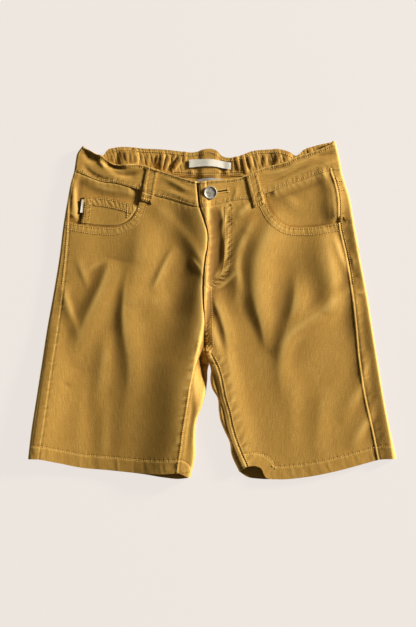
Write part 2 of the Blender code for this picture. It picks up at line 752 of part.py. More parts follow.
def fly_line(span, away):
    """A line beside the fly edge, where the layer under it steps down."""
    return up_down(FLY_EDGE, "x", *span, step=FLY_LAP) + (away, 0)


def under_fly(lap):
    """How far the right front lies below the left along the fly: nothing on its own side of it."""

    def level(x, y):
        past = x - hermite(FLY_EDGE["y"], FLY_EDGE["x"], y)
        down = ease((past - FLY_STEP[0]) / (FLY_STEP[1] - FLY_STEP[0]))
        return -lap * down * ease((y - CROTCH[1] + FLY_TAIL) / FLY_END)

    return level


def make_front_panel(side):
    hem, edge = HEMS[side], SIDES[side]
    outer_foot, seam_x = edge["y"][-1], edge["seam"][-1]
    inseam_x, inseam_y = INSEAMS[side]["x"][-1], INSEAMS[side]["y"][-1]
    inseam_top = INSEAMS[side]["x"][0], INSEAMS[side]["y"][0]
    mouth = rounded(MOUTHS[side])
    y = np.array([*shared_steps(FLY_EDGE["y"][2], CROTCH[1] + FLY_END, EDGE_STEP), CROTCH[1]])
    if side == "right":
        lap = (FLY_LAP + GAP) * ease((y - CROTCH[1] - FLY_END) / FLY_LAP_RAMP) - GAP
    else:
        lap = 0
    front = np.stack([hermite(FLY_EDGE["y"], FLY_EDGE["x"], y) + lap, y], 1)
    front[0, 1] = waist_y(front[0, 0])
    border = outline(
        (mouth[::-1], GAP),
        (front_waist(MOUTH_TOP_X[side], front[0, 0]), GAP),
        (front, 0 if side == "right" else GAP),
        (line(CROTCH, inseam_top), GAP),
        (up_down(INSEAMS[side], "x", inseam_top[1], inseam_y, INSEAM_STEP), GAP),
        (across(hem, "front", inseam_x, seam_x), 0),
        (up_down(edge, "seam", outer_foot, MOUTH_SIDE_Y[side]), GAP),
    )
    if side == "right":
        cuts = [fly_line(FLY_CUTS["panel"], away) for away in FLY_STEP]
        cloth("front_panel_right", [upper_sheet(border, under_fly(LAP), cuts=cuts)])
    else:
        cloth("front_panel_left", [upper_sheet(border)])


def make_pocket_facing(side):
    top, foot = BACK_SEAM_SIDE_Y[side], MOUTH_SIDE_Y[side]
    sign = SIDE_SIGN[side]
    mouth = rounded(MOUTHS[side])
    way = np.gradient(mouth, axis=0)
    normal = np.stack([way[:, 1], -way[:, 0]], 1) / np.hypot(*way.T)[:, None] * sign
    hidden = mouth + normal * FACING_LAP
    hidden[0, 1] = waist_y(hidden[0, 0])
    hidden[-1] = side_point(side, "seam", foot - FACING_LAP)
    seam_top = side_point(side, "seam", top)
    border = outline(
        (front_waist(seam_top[0], hidden[0, 0]), GAP),
        (hidden, 0),
        (line(*[side_point(side, "seam", y) for y in (foot - FACING_LAP, foot + FACING_STOP)]), GAP),
        (up_down(SIDES[side], "seam", foot + FACING_STOP, top, stops=[YOKE_SIDE_Y]), GAP),
    )

    def level(x, y):
        from_seam = np.abs(x - hermite(SIDES[side]["y"], SIDES[side]["seam"], y))
        under_mouth = ease((foot + FACING_BLEND - y) / FACING_RISE)
        return -LAP * np.maximum(ease(from_seam / FACING_BLEND), under_mouth)

    beside = up_down(SIDES[side], "seam", foot, top, FACING_BLEND) - (sign * FACING_BLEND, 0)
    cloth("pocket_facing_" + side, [upper_sheet(border, level, extra=[*beside, *(mouth + normal)])])


def make_coin_pocket():
    mouth = rounded(MOUTHS["right"])
    start = np.argmin(np.hypot(*(mouth - (COIN_TOP["x"][-1], COIN_TOP["y"][-1])).T))
    end = np.argmin(np.hypot(*(mouth - COIN_FOOT).T))
    foot = mouth[start:end + 1]
    top = across(COIN_TOP, "y", COIN_TOP["x"][0], COIN_TOP["x"][-1])
    top[-1] = foot[0]
    border = outline((top, 0), (foot, GAP), (line(foot[-1], top[0]), 0))
    cloth("coin_pocket", [upper_sheet(border)])
    low, high = corners(TAB)
    width = np.array([TAB_WIDTH, 0])
    border = np.array([low - width, low, high, high - width])
    cloth("coin_pocket_tab", [upper_sheet(border, LABEL - LAP + LAY_GAP)], wall=LABEL, colour=LABEL_WHITE)


def make_fly_zip():
    y = steps(FLY_EDGE["y"][2] - 2, FLY_FOOT_Y, EDGE_STEP)
    left = np.stack([hermite(FLY_EDGE["y"], FLY_EDGE["x"], y) + FLY_LAP + 2 * SEAM_GAP, y], 1)
    right = left[::-1] + (ZIP_WIDTH, 0)
    border = np.concatenate([left, right])
    cloth("fly_zip", [upper_sheet(border, -LAP)], colour=ZIP_OCHRE)


def make_waistband_back():
    right, left = (SIDES[side]["y"][0] for side in ("right", "left"))
    right_low, left_low = BACK_SEAM_SIDE_Y["right"], BACK_SEAM_SIDE_Y["left"]
    right_fold = up_down(SIDES["right"], "fold", right_low, right)
    left_fold = up_down(SIDES["left"], "fold", left, left_low)
    under = outline(
        (right_fold, 0),
        (across(BACK_BAND_TOP, "y", right_fold[-1, 0], left_fold[0, 0], 7), 0),
        (left_fold, 0),
        (back_waist("left", CENTRE_X), GAP),
        (back_waist("right", CENTRE_X)[::-1], GAP),
    )
    sheets = [lower_sheet(under, extra=rise_rings())]
    for side, fold in (("right", right_fold), ("left", left_fold[::-1])):
        low, high = BACK_SEAM_SIDE_Y[side], SIDES[side]["y"][0]
        over = outline(
            (fold, 0),
            (line(side_point(side, "fold", high), side_point(side, "seam", high)), 0),
            (up_down(SIDES[side], "seam", high, low), GAP),
            (line(side_point(side, "seam", low), side_point(side, "fold", low)), GAP),
        )
        sheets.append(upper_sheet(over, BAND_LIFT))
    cloth("waistband_back", sheets, wall=BAND)


def make_waistband_front(side):
    seam, seam_low = SIDES[side], BACK_SEAM_SIDE_Y[side]
    seam_x = float(hermite(seam["y"], seam["seam"], seam_low))
    if side == "right":
        high = BAND_TOP["x"][0], BAND_TOP["y"][0]
        end_x = BAND_UNDERLAP_X
        end = line((end_x, float(waist_y(end_x))), (end_x, float(hermite(BAND_TOP["x"], BAND_TOP["y"], end_x)) - 1))
        top = across(BAND_TOP, "y", end_x, high[0], 8)
        top[0] = end[-1]
    else:
        high = BAND_TOP["x"][-1], BAND_TOP["y"][-1]
        end = up_down(FLY_EDGE, "x", FLY_EDGE["y"][2], FLY_EDGE["y"][0], 8)
        end[0, 1] = waist_y(end[0, 0])
        top = across(BAND_TOP, "y", FLY_EDGE["x"][0], high[0], 8)
        top[0] = end[-1]
    side_seam = up_down(seam, "seam", high[1], seam_low)
    side_seam[0] = top[-1]
    border = outline(
        (front_waist(seam_x, end[0, 0]), GAP),
        (end, 0),
        (top, 0),
        (side_seam, GAP),
    )

    if side == "right":
        cuts = [fly_line(FLY_CUTS["band"], away) for away in FLY_STEP]
        level = under_fly(BAND_LAP)
        sheet = upper_sheet(border, lambda x, y: BAND_LIFT + level(x, y), cuts=cuts)
    else:
        sheet = upper_sheet(border, BAND_LIFT, holes=[keyhole()])
    cloth("waistband_front_" + side, [sheet], wall=BAND)


def keyhole():
    """Outline of the buttonhole: a round eye at the shank and a narrow slit."""
    eye, tip = np.array(BUTTON_AT), np.array(SLIT_END)
    heading = math.atan2(*(tip - eye)[::-1])
    half = math.asin(SLIT_WIDTH / 2 / HOLE_RADIUS)
    turns = heading + np.linspace(half, 2 * math.pi - half, 11)
    points = eye + HOLE_RADIUS * np.stack([np.cos(turns), np.sin(turns)], 1)
    across_slit = np.array([-math.sin(heading), math.cos(heading)]) * SLIT_WIDTH / 2
    return np.concatenate([points, [tip - across_slit, tip + across_slit]])


def make_front_loop(side):
    low_left, low_right, high_right, high_left = corners(FRONT_LOOPS[side])
    t = np.linspace(0, 1, 8)[:, None]
    left = low_left + (high_left - low_left) * t
    right = low_right + (high_right - low_right) * t
    border = np.concatenate([left, right[::-1]])

    def level(x, y):
        past = (y - waist_y(x) - LOOP_STEP[0]) / (LOOP_STEP[1] - LOOP_STEP[0])
        return DENIM + LOOP_GAP + BAND_LIFT * ease(past)

    points, faces = filled(border, UNDER_STEP)
    cloth("belt_loop_front_" + side, [(points, faces, upper(level), True)])


def make_back_loop(number, x):
    border = back_loop_outline(x)
    points, faces = filled(border, UNDER_STEP)

    def flat(px, py):
        return np.zeros(len(px))

    cloth("belt_loop_back_%d" % number, [(points, faces, flat, False)])


def make_labels():
    for name, tab, wall in (("main_label", MAIN_LABEL, BAND), ("size_label", SIZE_LABEL, DENIM)):
        border = np.concatenate([across(tab, "low", tab["x"][0], tab["x"][-1], 10),
                                 across(tab, "high", tab["x"][-1], tab["x"][0], 10)])

        def height(x, y, under=wall):
            return lifted(x, y) + under + LABEL_GAP + LABEL

        points, faces = filled(border, TOP_STEP, extra=rise_rings())
        cloth(name, [(points, faces, height, True)], wall=LABEL, colour=LABEL_WHITE)


def make_button():
    """A dished cap on a shank, turned about its own axis."""
    x, y = BUTTON_AT
    band_top = float(spread(np.array([x]), np.array([y]))[0]) + BAND_LIFT
    foot = band_top - BAND_LAP + SHANK_SINK
    seat = band_top + BUTTON_SEAT
    top = seat + BUTTON_HEIGHT
    profile = [
        (0, foot), (SHANK_RADIUS, foot), (SHANK_RADIUS, seat), (BUTTON_RADIUS - 0.9, seat),
        (BUTTON_RADIUS, seat + 0.8), (BUTTON_RADIUS, top - 0.9), (BUTTON_RADIUS - 0.7, top - 0.1),
        (BUTTON_RADIUS - 1.6, top), (BUTTON_RADIUS - 2.6, top - 0.7), (0, top - 0.9),
    ]
    made = bmesh.new()
    ring = [made.verts.new((r * MM, 0, z * MM)) for r, z in profile]
    edges = [made.edges.new(pair) for pair in zip(ring[:-1], ring[1:])]
    bmesh.ops.spin(made, geom=ring + edges, axis=(0, 0, 1), cent=(0, 0, 0), angle=math.tau,
                   steps=20, use_merge=True, use_normal_flip=False)
    bmesh.ops.remove_doubles(made, verts=made.verts, dist=0.00001)
    bmesh.ops.recalc_face_normals(made, faces=made.faces)
    mesh = bpy.data.meshes.new("button")
    made.to_mesh(mesh)
    made.free()
    mesh.shade_smooth()
    mesh.set_sharp_from_angle(angle=math.radians(35))
    button = new_object("button", mesh, NICKEL, roughness=0.35, metallic=1.0)
    button.location = (x * MM, y * MM, 0)


def main():
    for old in list(bpy.data.objects):
        bpy.data.objects.remove(old)
    for side in ("right", "left"):
        make_back_panel(side)
        make_back_yoke(side)
        make_pocket_facing(side)
        make_front_panel(side)
        make_waistband_front(side)
        make_front_loop(side)
    make_waistband_back()
    make_coin_pocket()
    make_fly_zip()
    for number, x in enumerate(BACK_LOOP_X, 1):
        make_back_loop(number, x)
    make_labels()
    make_button()


main()
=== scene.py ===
"""Looks of a child's five-pocket denim shorts, laid flat with the front up.

Each cut piece is a fine shell of cloth on the form of its solid. Lengths in this file are
millimetres, and angles degrees, unless a comment says otherwise; they turn to metres when a mesh
is made. +Y runs to the waist, +X to the wearer's left, +Z up.
"""

import math

import bpy
import numpy as np
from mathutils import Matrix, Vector
from mathutils.geometry import delaunay_2d_cdt


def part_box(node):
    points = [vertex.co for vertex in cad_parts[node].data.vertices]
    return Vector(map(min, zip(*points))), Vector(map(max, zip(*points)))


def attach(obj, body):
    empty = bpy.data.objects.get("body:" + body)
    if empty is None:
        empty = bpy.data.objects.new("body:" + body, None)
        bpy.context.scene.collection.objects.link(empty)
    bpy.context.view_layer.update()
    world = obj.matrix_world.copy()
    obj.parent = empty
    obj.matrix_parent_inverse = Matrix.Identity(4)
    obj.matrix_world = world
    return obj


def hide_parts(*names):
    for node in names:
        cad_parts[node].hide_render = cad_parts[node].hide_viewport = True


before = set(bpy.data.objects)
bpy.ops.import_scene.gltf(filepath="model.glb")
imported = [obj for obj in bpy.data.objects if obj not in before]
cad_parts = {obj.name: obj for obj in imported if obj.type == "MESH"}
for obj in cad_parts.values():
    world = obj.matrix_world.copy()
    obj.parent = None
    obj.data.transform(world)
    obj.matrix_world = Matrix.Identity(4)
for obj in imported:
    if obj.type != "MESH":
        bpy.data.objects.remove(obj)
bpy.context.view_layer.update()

MM = 0.001

# ---------------------------------------------------------------- cloth, as in the solids

DENIM = 1.2
BAND = 2.0
LABEL = 1.0
GAP = 0.03             # half the clear space between pieces that are sewn edge to edge
LAY_GAP = 0.45         # the clear space between pieces that lie one on another
LAP = DENIM + LAY_GAP
BAND_LAP = BAND + LAY_GAP
BAND_LIFT = 0.4        # how far the waistband stands over the panels
LOWEST_TOP = 3.4       # the deepest troughs of the front stay clear of the back under them

FOLD_REACH = 2.4       # the cloth rolls over within this of a fold's outermost line
ON_FOLD = 0.06         # and counts as on that line within this
FOLD_MIDDLE = 0.42     # the line's height, as a share of the front's
FOLD_RINGS = (0.25, 0.6, 1.1)    # rows of points beside the line, where the cloth bends most
CENTRE_X = -3.5
INWARD = {"right": 1, "left": -1}    # the way to the centre, along X
LEG_GRAIN = {"right": 7.0, "left": -7.0}

BACK_SEAM_Y = 153.5
BACK_SEAM_SIDE_Y = {"right": 159.0, "left": 161.0}
BACK_SEAM_DIP = 4.0    # a quarter of this below the straight way, between centre and side
YOKE_SIDE_Y = 140.0
YOKE_CENTRE_Y = 112.0

HEM_DEPTH = 15.0
MOUTH_ROWS = (1.8, 8.6)    # the two rows of stitches along a pocket's mouth
FACING_LAP = 8.0       # how far a facing runs on under the front
FACING_BLEND = 10.0
FLY_LAP = 8.0          # how far the right front runs on under the left
FLY_STEP = (-3.6, -0.6)    # where it steps down, from the fly's edge
FLY_SINK = 0.8         # how far it steps down, as a share of LAP
FLY_END = 8.0          # the step ends over this length above the crotch
FLY_FOOT_Y = 32.0
FLY_STACK = 1.8        # the layers behind the button lift the front by this
FLY_STACK_REACH = 28.0
FLY_STACK_Y = (85.0, 125.0)    # from none to all of that lift
J_ROWS = 6.0           # between the two rows of the fly's curved stitches
ZIP_WIDTH = 20.0
ZIP_CLEAR = 0.68
BAND_UNDERLAP_X = 21.0

BUTTON_AT = (-2.1, 134.5)
HOLE_RADIUS = 3.4
SLIT_END = (17.5, 137.6)
SLIT_WIDTH = 1.4

LOOP_WIDTH = 12.0
LOOP_WALL = 0.7        # a front loop's shell
LOOP_ROW = 3.7         # from a loop's middle to its row of stitches
BACK_LOOP_X = (-96.0, CENTRE_X, 80.0)
BACK_LOOP_Y = (148.5, 180.0)
PATCH_WALL = 0.5       # a patch pocket's shell
PATCH_CLEAR = 0.03     # and its clear space over the panel
PATCH_PRESSED = 0.58   # how flush its corner on the front is pressed
PATCH_GAP = 0.3
RISE = DENIM + PATCH_GAP    # of the back's cloth over a patch pocket or a loop
RISE_BLEND = 7.0
TAB_RISE = 1.1         # of the coin pocket's tab over the cloth beside it
LABEL_RISE = 0.85

# How fine the shells are: the lattice beside seams, and elsewhere on the upper and ground sides.
FINE = 0.9
UPPER_STEP = 2 * FINE
GROUND_STEP = 4 * FINE
SEAM_REACH = 9.0       # the lattice is the coarsest it gets from this far off a seam
FINE_SHARE = 0.35      # and fine within this share of that
SHORTEST = 0.25        # points of a border or a ring that are nearer together than this go
CLEAR_SHARE = 0.42     # of FINE: the lattice keeps about this clear of borders and rings


def table(names, *rows):
    """Rows of numbers as one array for each named column."""
    return dict(zip(names.split(), np.array(rows, float).T))


SIDES = {
    "right": table(
        "y fold seam",
        (188, -149.6, -146.6), (180, -155.0, -151.0), (171, -156.9, -153.6), (159, -158.8, -155.8),
        (148, -162.0, -159.0), (130, -165.5, -162.4), (100, -170.6, -163.8), (60, -175.6, -166.8),
        (20, -182.2, -171.4), (-20, -189.4, -176.5), (-60, -195.6, -182.5), (-100, -201.8, -188.0),
        (-140, -208.0, -193.6), (-170, -211.5, -198.7),
    ),
    "left": table(
        "y fold seam",
        (193.8, 141.6, 137.0), (180, 144.8, 137.6), (171, 146.8, 137.0), (159, 148.8, 137.4),
        (148, 152.0, 141.2), (130, 157.6, 145.0), (100, 162.6, 146.4), (60, 169.8, 155.0),
        (20, 177.5, 161.3), (-20, 184.0, 166.0), (-60, 190.4, 169.8), (-100, 197.0, 176.3),
        (-140, 204.8, 185.3), (-170, 211.5, 191.2),
    ),
}
CROTCH = (-7.2, -46.0)
TIP_Y = -62.0
INSEAMS = {
    "right": table(
        "y x",
        (-48, -13.0), (-56, -16.6), (-65, -19.6), (-75, -21.8), (-88, -24.4), (-109, -27.4),
        (-126, -30.2), (-141, -32.5), (-157, -34.4), (-176, -37.6), (-185.4, -38.6),
    ),
    "left": table(
        "y x",
        (-50, -1.5), (-60, 4.1), (-73, 8.9), (-86, 11.8), (-100, 14.6), (-116, 19.3),
        (-135, 23.4), (-150, 28.0), (-165, 34.0), (-178.6, 40.0),
    ),
}
INNER_FOLDS = {
    "right": table(
        "y x",
        (-62, -3.7), (-66, -4.9), (-80, -5.8), (-95, -7.5), (-108, -11.0), (-125, -17.4),
        (-145, -19.3), (-168, -19.6), (-192, -25.0),
    ),
    "left": table(
        "y x",
        (-62, -3.3), (-66, -2.0), (-80, -2.2), (-90, 0.0), (-100, 5.8), (-115, 7.4),
        (-126, 9.2), (-140, 14.8), (-151, 19.8), (-165, 21.9), (-185, 30.8),
    ),
}
HEMS = {
    "right": table(
        "x front back",
        (-211.5, -170.0, -170.0), (-198.7, -170.4, -170.4), (-180, -174.0, -174.0),
        (-150, -180.2, -180.4), (-115, -183.2, -184.0), (-80, -186.4, -188.0),
        (-54, -186.8, -192.2), (-38.6, -185.4, -193.6), (-25, -184.0, -192.0),
    ),
    "left": table(
        "x front back",
        (30.8, -179.0, -185.0), (40, -178.6, -191.0), (52, -179.0, -193.2), (57, -182.5, -193.6),
        (60, -189.5, -193.8), (66, -193.0, -193.8), (74, -193.6, -193.8),
        (106.7, -191.2, -191.4), (141, -184.6, -184.8), (176, -175.3, -175.5),
        (191.2, -171.2, -171.2), (211.5, -170.0, -170.0),
    ),
}
WAIST_SEAM = table(
    "x y",
    (-155.8, 159.0), (-144, 154.7), (-134.8, 150.7), (-125.6, 147.8), (-110.7, 146.1),
    (-98, 142.6), (-83.1, 138.0), (-65.8, 131.7), (-52, 128.2), (-37.1, 123.6), (-24.4, 119.8),
    (-12.9, 118.6), (-0.3, 120.2), (8.9, 122.5), (25, 125.9), (40, 127.7), (57.8, 132.8),
    (75.6, 139.2), (92.9, 146.1), (109, 151.8), (126.2, 158.0), (137.4, 161.0),
)
BAND_TOP = table(
    "x y",
    (-146.6, 186.6), (-140.6, 183.4), (-132.5, 178.8), (-125.6, 177.1), (-121, 172.5),
    (-115.3, 168.2), (-107.2, 166.2), (-98, 167.4), (-87.7, 167.9), (-75, 165.6), (-60.1, 160.4),
    (-45.1, 155.3), (-29, 150.1), (-15.8, 147.2), (-0.3, 148.9), (17, 150.1), (31.9, 152.4),
    (54.9, 162.2), (68.7, 166.2), (82.5, 169.6), (96.3, 176.0), (109, 180.0), (122.8, 184.6),
    (137.0, 190.8),
)
BACK_BAND_TOP = table(
    "x y",
    (-149.6, 188.0), (-140, 181.2), (-132, 176.4), (-127, 175.6), (-124.0, 179.6),
    (-119.9, 184.6), (-114.0, 186.4), (-75, 185.7), (-53.2, 184.6), (-25.6, 181.4), (6.6, 181.6),
    (11, 177.6), (20, 175.3), (33.1, 178.0), (43.4, 182.3), (60.7, 184.6), (77.9, 184.6),
    (89.4, 181.1), (97.5, 177.7), (104.4, 184.0), (114.7, 188.0), (129.7, 191.8), (141.6, 193.8),
)
FLY_EDGE = table(
    "y x",
    (147.2, -15.8), (133, -14.7), (118.6, -12.9), (106, -8.7), (90, -4.5), (74, -4.5),
    (57, -7.2), (40, -8.7), (24, -9.3), (0, -8.7), (-18, -8.3), (-46, -7.2),
)
MOUTHS = {
    "right": table(
        "x y",
        (-83.1, 138.0), (-83.4, 126), (-84.8, 119), (-88.8, 109.8), (-95.7, 102.1),
        (-104.9, 97.2), (-114.1, 95.4), (-129.1, 95.8), (-141.7, 97.2), (-153.2, 99.1),
        (-163.7, 101.4),
    ),
    "left": table(
        "x y",
        (59.9, 133.6), (62.2, 123.5), (66.4, 114.4), (72.2, 105.8), (80.8, 98.9), (89.4, 95.6),
        (100.9, 94.9), (118.2, 95.6), (131.4, 98.0), (146.4, 100.6),
    ),
}
MOUTH_SIDE_Y = {"right": 101.4, "left": 100.6}
COIN_TOP = table(
    "x y",
    (-146.2, 130.6), (-134.8, 130.0), (-121, 128.6), (-106, 125.6), (-96, 122.6), (-88.6, 120.4),
)
COIN_FOOT = (-149.4, 99.8)
TAB = table("x y", (-148.8, 112.0), (-147.0, 127.0))
TAB_WIDTH = 2.4
J_STITCH = table(
    "x y",
    (21.0, 119.5), (20.4, 84), (20.2, 62), (18.4, 47), (14.4, 38.5), (7.0, 31.8), (0, 27.0),
    (-8.4, 25.6),
)
FRONT_LOOPS = {
    "right": table("x y", (-81.6, 126.5), (-68.1, 121.9), (-61.2, 161.0), (-74.5, 165.0)),
    "left": table("x y", (48.0, 117.6), (60.4, 122.3), (51.4, 159.4), (38.9, 153.6)),
}
BACK_POCKETS = {
    "right": table("x y", (-164, 106), (-158, 9), (-122, -4), (-84, 7), (-78, 102)),
    "left": table("x y", (70, 102), (78, 7), (117, -4), (158, 9), (163, 40)),
}
POCKET_WRAP = {"top": 107.0, "foot": 66.0, "reach_x": 150.5}
MAIN_LABEL = table(
    "x low high",
    (-26.4, 163.9, 173.1), (-8.3, 165.4, 173.7), (3.2, 165.0, 173.1), (11.2, 163.4, 171.4),
    (21.3, 161.6, 169.6),
)
SIZE_LABEL = table("x low high", (-18.1, 144.6, 149.8), (-4.9, 147.0, 152.2), (13.5, 145.6, 150.6))
HEIGHTS = table(
    "y height",
    (200, 6.3), (160, 6.4), (120, 6.4), (80, 6.3), (40, 6.1), (0, 6.0), (-60, 5.8), (-130, 5.4),
    (-200, 5.0),
)

# ---------------------------------------------------------------- folds in the cloth

# The folds are laid out on the photograph's own pixels, as squares counted right and down.
GRID = 1.15                      # the side of a square
GRID_X0, GRID_Y0 = 212.25, 310.5    # where the origin lies among them

